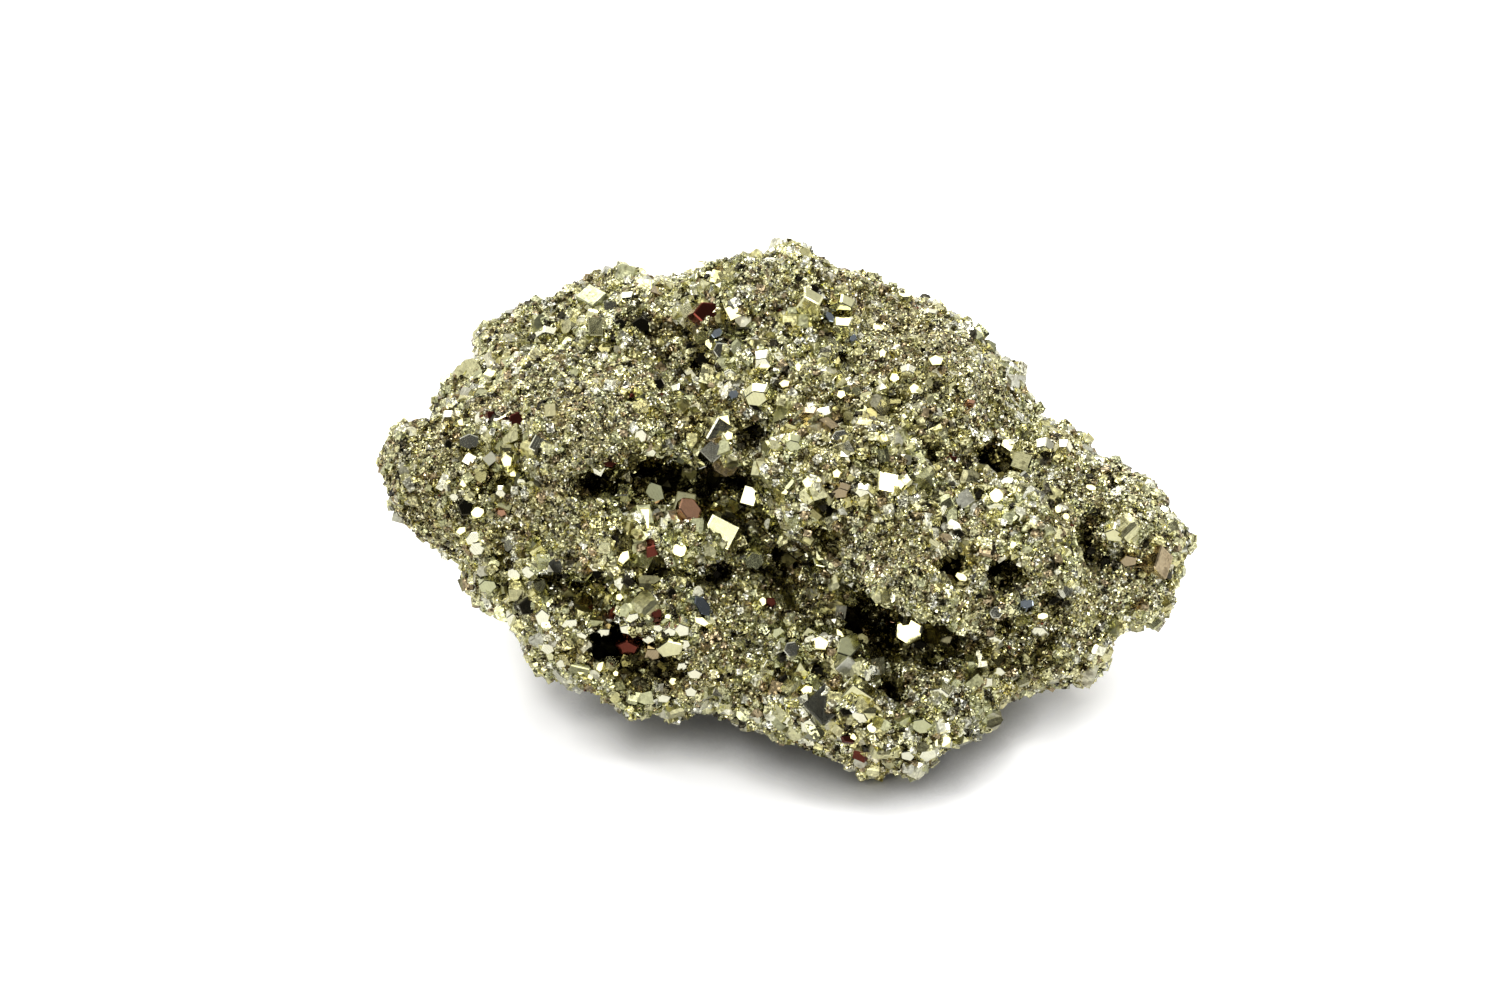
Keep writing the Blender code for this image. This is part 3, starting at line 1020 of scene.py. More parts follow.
    def seats(self, count: int, chance: np.random.Generator) -> tuple[Array, Array, Array]:
        """Draws random places on the skin, evenly by area.

        Args:
            count: How many places.
            chance: The source of random numbers.

        Returns:
            The places, their normals and how open they are.
        """
        points = points_of(self.piece.data)
        a, b, c = (points[self.triangles[:, i]] for i in range(3))
        reach = np.cumsum(np.linalg.norm(np.cross(b - a, c - a), axis=1))
        picked = np.minimum(np.searchsorted(reach, chance.uniform(0, reach[-1], count)), len(reach) - 1)
        s, t = chance.uniform(0, 1, (2, count))
        over = s + t > 1
        s[over], t[over] = 1 - s[over], 1 - t[over]
        shares = np.stack([1 - s - t, s, t], axis=1)[:, :, None]
        corners = self.triangles[picked]
        normals = unit_rows((self.normals[corners] * shares).sum(axis=1))
        openness = (self.openness[corners] * shares[:, :, 0]).sum(axis=1)
        return (points[corners] * shares).sum(axis=1), normals, openness


# ---------------------------------------------------------------------------------------------------
# Crystals
# ---------------------------------------------------------------------------------------------------


@dataclass(frozen=True)
class Shape:
    """A crystal's form at size one, ready to be copied.

    Attributes:
        points: Its corners, one row each.
        corners: The corner numbers of all its faces, one after the other.
        sides: How many corners each face has.
        chart: A place on the face's own chart for each entry of corners.
    """

    points: Array
    corners: Array
    sides: Array
    chart: Array


class Habit(Enum):
    """The ways in which the crystals grow."""

    CORNER = "cube corner"
    CUBE = "cube"
    CHIPPED_CUBE = "chipped cube"
    CUT_CUBE = "cut cube"
    PYRITOHEDRON = "pyritohedron"
    HEXAGON = "hexagon"
    PENTAGON = "pentagon"
    BEVELLED_CUBE = "bevelled cube"
    STEPPED_CUBE = "stepped cube"


@dataclass
class CrystalModels:
    """Models each habit once, at size one.

    Attributes:
        corner_base: How far from the cube's middle the base of a cube corner lies.
        corner_cut: How far from the middle a cut corner lies, along its diagonal.
        chip: The same for a chipped corner, as a share of it.
        chips: How many corners a chipped cube has lost.
        roof: Slope of a pyritohedron's faces over a cube's.
        bevel: Width of a bevelled edge.
        flare: Radius of a plate's hidden side, and of its chief face.
        step: Height and inset of a growth step.
        steps: How many growth steps a face has.
        level: How near a face's normal and height are to those of the face that is stepped.
    """

    corner_base: float = 0.30
    corner_cut: float = 0.66
    chip: float = 0.95
    chips: int = 2
    roof: float = 0.5
    bevel: float = 0.05
    flare: tuple[float, float] = (0.64, 0.5)
    step: tuple[float, float] = (0.045, 0.10)
    steps: int = 2
    level: tuple[float, float] = (0.99, 1e-4)

    def cut(self, way: Triple, distance: float) -> None:
        """Cuts off all that lies beyond a plane, and closes the cut with a face.

        Args:
            way: The way the plane faces.
            distance: How far it lies from the middle.
        """
        normal = Vector(way).normalized()
        bpy.ops.mesh.select_all(action="SELECT")
        bpy.ops.mesh.bisect(plane_co=normal * distance, plane_no=normal, use_fill=True, clear_outer=True)

    def cut_corners(self, distance: float, corners: int = 8) -> None:
        """Cuts the first few corners of the cube off.

        Args:
            distance: How far the cut lies from the middle.
            corners: How many corners lose their tip.
        """
        signs = [(x, y, z) for x in (1, -1) for y in (1, -1) for z in (1, -1)]
        for way in signs[:corners]:
            self.cut(way, distance)

    def cut_roofs(self) -> None:
        """Cuts the cube down to the twelve faces of a pyritohedron."""
        size = 0.5 / math.hypot(1.0, self.roof) * (1 + self.roof * 0.5)
        for a, b in ((a, b) for a in (1.0, -1.0) for b in (self.roof, -self.roof)):
            for way in ((a, b, 0.0), (0.0, a, b), (b, 0.0, a)):
                self.cut(way, size)

    def bevel_edges(self) -> None:
        """Bevels all the edges."""
        bpy.ops.mesh.select_all(action="SELECT")
        bpy.ops.mesh.bevel(offset=self.bevel, segments=1, affect="EDGES")

    def grow_steps(self) -> None:
        """Raises growth steps on three faces of the cube."""
        height, inset = self.step
        straight, even = self.level
        faces = bpy.context.object.data.polygons
        for way in (Vector((0, 0, 1)), Vector((1, 0, 0)), Vector((0, -1, 0))):
            for _ in range(self.steps):
                bpy.ops.object.mode_set(mode="OBJECT")
                far = max(face.center.dot(way) for face in faces)
                for face in faces:
                    face.select = face.normal.dot(way) > straight and face.center.dot(way) > far - even
                bpy.ops.object.mode_set(mode="EDIT")
                bpy.ops.mesh.inset(thickness=inset, depth=0.0)
                bpy.ops.mesh.extrude_region_move(TRANSFORM_OT_translate={"value": way * height})

    def model(self, change: Callable[[], None], sides: int = 0) -> Shape:
        """Models one habit, charts its faces, reads its form and removes the model.

        Args:
            change: What is done to the cube or the plate.
            sides: How many sides the plate has; none for a cube.

        Returns:
            The form.
        """
        start_clean()
        if sides:
            hidden, chief = self.flare
            bpy.ops.mesh.primitive_cone_add(vertices=sides, radius1=hidden, radius2=chief, depth=1.0)
        else:
            bpy.ops.mesh.primitive_cube_add(size=1.0)
        piece = bpy.context.object
        bpy.ops.object.mode_set(mode="EDIT")
        change()
        bpy.ops.mesh.select_all(action="SELECT")
        bpy.ops.mesh.normals_make_consistent(inside=False)
        bpy.ops.uv.cube_project(cube_size=1.0)
        bpy.ops.object.mode_set(mode="OBJECT")
        mesh = piece.data
        corners = np.array([loop.vertex_index for loop in mesh.loops], np.int32)
        sizes = np.array([face.loop_total for face in mesh.polygons], np.int32)
        chart = np.array([entry.uv for entry in mesh.uv_layers.active.data])
        shape = Shape(points_of(mesh), corners, sizes, chart)
        bpy.data.objects.remove(piece)
        return shape

    def build(self) -> dict[Habit, Shape]:
        """Models every habit.

        Returns:
            The forms, by habit.
        """
        return {
            Habit.CORNER: self.model(lambda: self.cut((-1.0, -1.0, -1.0), -self.corner_base)),
            Habit.CUBE: self.model(lambda: None),
            Habit.CHIPPED_CUBE: self.model(lambda: self.cut_corners(self.corner_cut * self.chip, self.chips)),
            Habit.CUT_CUBE: self.model(lambda: self.cut_corners(self.corner_cut)),
            Habit.PYRITOHEDRON: self.model(self.cut_roofs),
            Habit.BEVELLED_CUBE: self.model(self.bevel_edges),
            Habit.STEPPED_CUBE: self.model(self.grow_steps),
            Habit.HEXAGON: self.model(self.bevel_edges, sides=6),
            Habit.PENTAGON: self.model(self.bevel_edges, sides=5),
        }


@dataclass
class Crystals:
    """A joined piece of many crystals, gathered one batch at a time.

    Attributes:
        name: The piece's name.
        shapes: The forms at size one.
        slide: How far a crystal's chart is slid for each metre that it stands from the middle.
        ground: The least height of a corner, in metres.
    """

    name: str
    shapes: dict[Habit, Shape]
    slide: float = 997.0
    ground: float = 0.02 * MM
    parts: dict[str, list[Array]] = field(default_factory=dict)
    total: int = 0

    def add(self, habit: Habit, centres: Array, turns: Array, sizes: Array, facts: dict[str, Array]) -> None:
        """Adds crystals of one habit.

        Args:
            habit: Their habit.
            centres: Their middles, one row each.
            turns: Their turns, one 3 by 3 matrix each.
            sizes: Their lengths along their own axes, one row each.
            facts: Tone, openness and dullness of each.
        """
        shape = self.shapes[habit]
        count = len(centres)
        placed = np.einsum("nij,nkj->nki", turns, shape.points[None] * sizes[:, None, :])
        starts = self.total + np.arange(count) * len(shape.points)
        chart = shape.chart[None] + (centres[:, :2] * self.slide)[:, None, :]
        batch = {
            "points": (placed + centres[:, None, :]).reshape(-1, 3),
            "corners": (shape.corners[None] + starts[:, None]).ravel(),
            "sides": np.tile(shape.sides, count),
            "chart": chart.reshape(-1, 2),
        }
        batch |= {label: np.repeat(values, len(shape.points), axis=0) for label, values in facts.items()}
        for label, values in batch.items():
            self.parts.setdefault(label, []).append(values)
        self.total += count * len(shape.points)

    def build(self, material: bpy.types.Material) -> bpy.types.Object:
        """Joins all the crystals into one piece.

        Args:
            material: The piece's material.

        Returns:
            The piece.
        """
        whole = {label: np.concatenate(parts) for label, parts in self.parts.items()}
        points, corners, sides, chart = (whole.pop(label) for label in ("points", "corners", "sides", "chart"))
        points[:, 2] = np.maximum(points[:, 2], self.ground)
        mesh = bpy.data.meshes.new(self.name)
        mesh.vertices.add(len(points))
        mesh.vertices.foreach_set("co", points.astype(np.float32).ravel())
        mesh.loops.add(len(corners))
        mesh.loops.foreach_set("vertex_index", corners.astype(np.int32))
        mesh.polygons.add(len(sides))
        starts = np.concatenate([[0], np.cumsum(sides)[:-1]]).astype(np.int32)
        mesh.polygons.foreach_set("loop_start", starts)
        mesh.update(calc_edges=True)
        mesh.uv_layers.new(name="UVMap").data.foreach_set("uv", chart.astype(np.float32).ravel())
        for label, values in whole.items():
            add_attribute(mesh, label, values)
        finish_flat(mesh, material)
        return put_in(self.name, mesh)


def random_turns(count: int, chance: np.random.Generator) -> Array:
    """Draws even random turns.

    Args:
        count: How many.
        chance: The source of random numbers.

    Returns:
        One 3 by 3 matrix each.
    """
    w, x, y, z = unit_rows(chance.normal(size=(count, 4))).T
    rows = [
        [1 - 2 * (y * y + z * z), 2 * (x * y - z * w), 2 * (x * z + y * w)],
        [2 * (x * y + z * w), 1 - 2 * (x * x + z * z), 2 * (y * z - x * w)],
        [2 * (x * z - y * w), 2 * (y * z + x * w), 1 - 2 * (x * x + y * y)],
    ]
    return np.array(rows).transpose(2, 0, 1)


def leaning_turns(normals: Array, lean: float, chance: np.random.Generator) -> Array:
    """Draws turns that point a cube's corner out of the skin, each leaning its own way.

    Args:
        normals: The skin's normals, one row each.
        lean: How far the corners lean, as a share of the normal.
        chance: The source of random numbers.

    Returns:
        One 3 by 3 matrix each.
    """
    ways = unit_rows(normals + lean * chance.normal(size=normals.shape))
    first = unit_rows(np.cross(ways, chance.normal(size=normals.shape)))
    frames = np.stack([first, np.cross(ways, first), ways], axis=2)
    return frames @ unit_rows(np.array([[1.0, -1.0, 0.0], [1.0, 1.0, -2.0], [1.0, 1.0, 1.0]]))


@dataclass(frozen=True)
class GrainSize:
    """One size of crystal that grows all over the lump.

    Attributes:
        name: The piece's name, or its start where there are several.
        finish: The name of their finish.
        size: The crystals' usual size, in metres.
        spread: How much their sizes differ.
        spacing: Least distance between two of them, as a share of their size.
        level: The coarseness at which they are most common, and how quickly they thin out from it.
        darts: How many places are tried.
        cover: Share of the tried places that may be used where they are most common.
        rise: How far their middles stand over the skin, as a share of their size.
        filling: Share of them that is left in the coarsest parts.
        habits: Each habit and its weight.
        tones: Their colours.
        pieces: How many pieces they are shared out over.
    """

    name: str
    finish: str
    size: float
    spread: float
    spacing: float
    level: tuple[float, float]
    darts: int
    cover: float
    rise: float
    filling: float
    habits: dict[Habit, float]
    tones: ToneMix
    pieces: int = 1


GRAIN_SIZES = (
    GrainSize(
        "blocks", "crystal", 1.30 * MM, 0.22, 0.80, (1.6, 0.8), 4000, 0.45, -0.25, 0.9,
        {Habit.BEVELLED_CUBE: 1, Habit.CUT_CUBE: 2, Habit.PYRITOHEDRON: 3}, BLOCK_TONES,
    ),
    GrainSize(
        "coarse_crystals", "crystal", 0.90 * MM, 0.20, 0.80, (1.1, 0.9), 14000, 0.50, -0.18, 0.9,
        {Habit.CUBE: 1, Habit.CUT_CUBE: 2, Habit.PYRITOHEDRON: 2, Habit.CHIPPED_CUBE: 2}, BLOCK_TONES,
    ),
    GrainSize(
        "middling_crystals", "grain", 0.64 * MM, 0.18, 0.80, (0.7, 1.1), 40000, 0.45, -0.13, 0.7,
        {Habit.CUBE: 3, Habit.CHIPPED_CUBE: 3, Habit.PYRITOHEDRON: 1}, BLOCK_TONES,
    ),
    GrainSize(
        "small_crystals", "grain", 0.44 * MM, 0.18, 0.80, (0.1, 1.2), 70000, 0.36, -0.10, 0.5,
        {Habit.CUBE: 1}, GRAIN_TONES,
    ),
    GrainSize(
        "sugary_grain", "grain", 0.27 * MM, 0.18, 0.60, (-1.2, 1.6), 420000, 1.0, -0.34, 0.35,
        {Habit.CORNER: 1}, GRAIN_TONES, 4,
    ),
)


# ---------------------------------------------------------------------------------------------------
# The crystals that stand out
# ---------------------------------------------------------------------------------------------------


class Facing(Enum):
    """What a crystal's chief face mirrors to the camera, as the way to it."""

    LAMP = (-0.2, -0.7, 1.2)
    LOW_LAMP = (-0.15, -1.0, 0.3)
    BACK = (-0.2, 0.75, 0.8)
    SKY = (0.3, -0.1, 1.0)
    FLOOR = (-0.2, -1.0, -0.5)
    WALL = (0.5, -0.5, 0.9)
    ROOM = (0.15, -1.0, 0.55)


@dataclass(frozen=True)
class LargeCrystal:
    """A crystal that stands out.

    Attributes:
        name: Its name.
        at: Where it is seen, in pixels of the picture.
        size: Width, height and depth, in pixels.
        habit: Its habit.
        tone: Its colour.
        facing: What its chief face mirrors.
        spin: Its turn about the chief face's normal, in degrees.
    """

    name: str
    at: tuple[float, float]
    size: Triple
    habit: Habit
    tone: Tone
    facing: Facing
    spin: float = 0.0


# The red and black crystals here are painted reflections: dark red of something warm, near black of the dark
# room.
LARGE = (
    LargeCrystal("cube", (720, 527), (26, 22, 22), Habit.STEPPED_CUBE, Tone.BRASS, Facing.LOW_LAMP, -25),
    LargeCrystal("cube bar", (727, 512), (32, 9, 22), Habit.BEVELLED_CUBE, Tone.GOLD, Facing.LOW_LAMP, -28),
    LargeCrystal("block", (740, 522), (9, 14, 14), Habit.BEVELLED_CUBE, Tone.GOLD, Facing.LOW_LAMP, -20),
    LargeCrystal("sugar under the cube", (738, 537), (9, 10, 9), Habit.PENTAGON, Tone.GOLD, Facing.LAMP, 30),
    LargeCrystal("left one", (703, 515), (14, 20, 22), Habit.BEVELLED_CUBE, Tone.GOLD, Facing.LOW_LAMP, -18),
    LargeCrystal("striped block", (698, 486), (20, 13, 18), Habit.STEPPED_CUBE, Tone.PALE, Facing.FLOOR, 28),
    LargeCrystal("lip block", (710, 453), (17, 16, 14), Habit.STEPPED_CUBE, Tone.GREY, Facing.SKY, 30),
    LargeCrystal("small lip", (701, 462), (11, 14, 12), Habit.BEVELLED_CUBE, Tone.GREY, Facing.SKY, 10),
    LargeCrystal("upright cube", (750, 496), (15, 19, 14), Habit.BEVELLED_CUBE, Tone.BRASS, Facing.LAMP, -12),
    LargeCrystal("crescent", (733, 500), (12, 20, 14), Habit.HEXAGON, Tone.PALE, Facing.FLOOR, 10),
    LargeCrystal("left plate", (617, 502), (19, 31, 16), Habit.HEXAGON, Tone.PALE, Facing.FLOOR, -40),
    LargeCrystal("bright streak", (644, 522), (9, 26, 10), Habit.BEVELLED_CUBE, Tone.GOLD, Facing.LAMP, 4),
    LargeCrystal("pale hexagon", (663, 529), (14, 18, 10), Habit.HEXAGON, Tone.PALE, Facing.FLOOR, 15),
    LargeCrystal("copper face", (688, 513), (20, 27, 16), Habit.HEXAGON, Tone.COPPER, Facing.SKY, 20),
    LargeCrystal("green crystal", (653, 494), (20, 26, 14), Habit.PENTAGON, Tone.OLIVE, Facing.SKY, 10),
    LargeCrystal("dark red", (648, 546), (16, 14, 12), Habit.PENTAGON, Tone.RED, Facing.BACK),
    LargeCrystal("hollow's glint", (624, 557), (11, 17, 10), Habit.PENTAGON, Tone.GOLD, Facing.LAMP, -30),
    LargeCrystal("small glint", (680, 550), (13, 14, 10), Habit.CUT_CUBE, Tone.GOLD, Facing.LAMP, 30),
    LargeCrystal("olive facet", (753, 562), (22, 18, 12), Habit.HEXAGON, Tone.OLIVE, Facing.ROOM, 15),
    LargeCrystal("green flat", (579, 573), (25, 24, 14), Habit.HEXAGON, Tone.OLIVE, Facing.SKY, 5),
    LargeCrystal("olive in the crevice", (823, 561), (20, 16, 14), Habit.HEXAGON, Tone.OLIVE, Facing.SKY),
    LargeCrystal("wing glint, upper", (508, 462), (12, 14, 10), Habit.PENTAGON, Tone.GOLD, Facing.LAMP, 10),
    LargeCrystal("wing light", (490, 461), (12, 10, 10), Habit.CUBE, Tone.PALE, Facing.SKY, 25),
    LargeCrystal("wing glint, small", (513, 474), (9, 8, 8), Habit.PENTAGON, Tone.GOLD, Facing.LAMP),
    LargeCrystal("wing glint, lower", (479, 513), (12, 10, 10), Habit.CUT_CUBE, Tone.GOLD, Facing.LAMP, 15),
    LargeCrystal("wing black", (467, 507), (15, 18, 12), Habit.PENTAGON, Tone.BLACK, Facing.ROOM),
    LargeCrystal("left plate", (809, 307), (25, 34, 12), Habit.PENTAGON, Tone.BRASS, Facing.FLOOR, 15),
    LargeCrystal("summit plate, right", (841, 309), (25, 21, 12), Habit.HEXAGON, Tone.BRASS, Facing.FLOOR),
    LargeCrystal("lower plate", (841, 331), (26, 20, 12), Habit.PENTAGON, Tone.BRASS, Facing.FLOOR, 30),
    LargeCrystal("summit blue", (829, 318), (8, 13, 8), Habit.HEXAGON, Tone.BLUE, Facing.SKY, 20),
    LargeCrystal("summit dark red", (705, 313), (28, 20, 14), Habit.PENTAGON, Tone.RED, Facing.WALL, 10),
    LargeCrystal("summit cube", (734, 313), (13, 14, 12), Habit.BEVELLED_CUBE, Tone.GOLD, Facing.LAMP, 30),
    LargeCrystal("slope plate", (757, 396), (24, 18, 12), Habit.HEXAGON, Tone.BRASS, Facing.FLOOR, 20),
    LargeCrystal("slope glint", (723, 424), (14, 12, 10), Habit.CUBE, Tone.GOLD, Facing.LAMP, 15),
    LargeCrystal("slope point", (841, 396), (9, 9, 8), Habit.PENTAGON, Tone.GOLD, Facing.LAMP, 40),
    LargeCrystal("right glint", (996, 497), (13, 13, 10), Habit.CUT_CUBE, Tone.GOLD, Facing.LAMP),
    LargeCrystal("bright hexagon", (911, 628), (30, 28, 22), Habit.HEXAGON, Tone.GOLD, Facing.LOW_LAMP),
    LargeCrystal("copper point", (892, 619), (10, 10, 8), Habit.HEXAGON, Tone.COPPER, Facing.SKY),
    LargeCrystal("olive wedge", (848, 649), (30, 22, 14), Habit.PENTAGON, Tone.OLIVE, Facing.SKY, 35),
    LargeCrystal("wedge glint", (820, 645), (20, 14, 10), Habit.PENTAGON, Tone.GOLD, Facing.LAMP),
    LargeCrystal("wedge sliver", (840, 636), (6, 18, 8), Habit.PENTAGON, Tone.GOLD, Facing.LAMP, 35),
    LargeCrystal("grey block", (822, 708), (28, 26, 18), Habit.STEPPED_CUBE, Tone.GREY, Facing.WALL, 30),
    LargeCrystal("front block", (856, 694), (26, 20, 18), Habit.BEVELLED_CUBE, Tone.BRASS, Facing.FLOOR, -35),
    LargeCrystal("front glint, left", (807, 692), (14, 10, 10), Habit.PENTAGON, Tone.GOLD, Facing.LAMP, 20),
    LargeCrystal("front glint, low", (891, 744), (18, 12, 10), Habit.PENTAGON, Tone.GOLD, Facing.LAMP, 30),
    LargeCrystal("front glint, right", (942, 740), (15, 13, 10), Habit.CUT_CUBE, Tone.GOLD, Facing.LAMP),
    LargeCrystal("foot red", (627, 646), (24, 18, 14), Habit.PENTAGON, Tone.RED, Facing.FLOOR),
    LargeCrystal("foot plate", (671, 645), (28, 20, 12), Habit.PENTAGON, Tone.BRASS, Facing.FLOOR, 15),
    LargeCrystal("foot glint, left", (581, 670), (9, 10, 8), Habit.PENTAGON, Tone.GOLD, Facing.LAMP, 25),
    LargeCrystal("foot glint, low", (612, 684), (9, 9, 8), Habit.PENTAGON, Tone.GOLD, Facing.LAMP, -10),
    LargeCrystal("foot glint, right", (665, 702), (10, 8, 8), Habit.PENTAGON, Tone.GOLD, Facing.LAMP, 10),
    LargeCrystal("blue oval", (702, 607), (13, 24, 10), Habit.HEXAGON, Tone.BLUE, Facing.WALL, 20),
    LargeCrystal("arc under the oval", (701, 622), (18, 8, 10), Habit.PENTAGON, Tone.GOLD, Facing.LAMP, -20),
    LargeCrystal("wing brown", (528, 606), (18, 18, 12), Habit.PENTAGON, Tone.BLACK, Facing.ROOM),
    LargeCrystal("slope red, left", (656, 615), (11, 12, 8), Habit.PENTAGON, Tone.RED, Facing.SKY),
    LargeCrystal("slope red, right", (770, 604), (10, 11, 8), Habit.PENTAGON, Tone.RED, Facing.SKY, 20),
    LargeCrystal("far right plate", (1115, 534), (20, 16, 10), Habit.PENTAGON, Tone.BRASS, Facing.FLOOR),
    LargeCrystal("ridge plate", (908, 374), (15, 12, 10), Habit.HEXAGON, Tone.PALE, Facing.FLOOR),
    LargeCrystal("ridge glint", (936, 362), (16, 11, 10), Habit.PENTAGON, Tone.GOLD, Facing.LAMP, 10),
)


@dataclass(frozen=True)
class Facets:
    """A group of lesser crystals that stand out, alike in all but place and size.

    Attributes:
        name: The group's name.
        habit: Their habit.
        tone: Their colour.
        facing: What their chief faces mirror.
        rows: Where each is seen, and its width and height, all in pixels.
        depth: Their depth, as a share of the lesser of width and height.
        swing: The most that they are turned about the chief face's normal, in degrees.
    """

    name: str
    habit: Habit
    tone: Tone
    facing: Facing
    rows: tuple[tuple[float, float, float, float], ...]
    depth: float = 0.7
    swing: float = 40.0

    def crystals(self, chance: np.random.Generator) -> list[LargeCrystal]:
        """Gives each crystal of the group its depth and a turn of its own.

        Args:
            chance: The source of random numbers.

        Returns:
            The group's crystals.
        """
        found = []
        for across, down, width, height in self.rows:
            size = (width, height, self.depth * min(width, height))
            spin = float(chance.uniform(-self.swing, self.swing))
            look = (self.habit, self.tone, self.facing)
            found.append(LargeCrystal(self.name, (across, down), size, *look, spin))
        return found


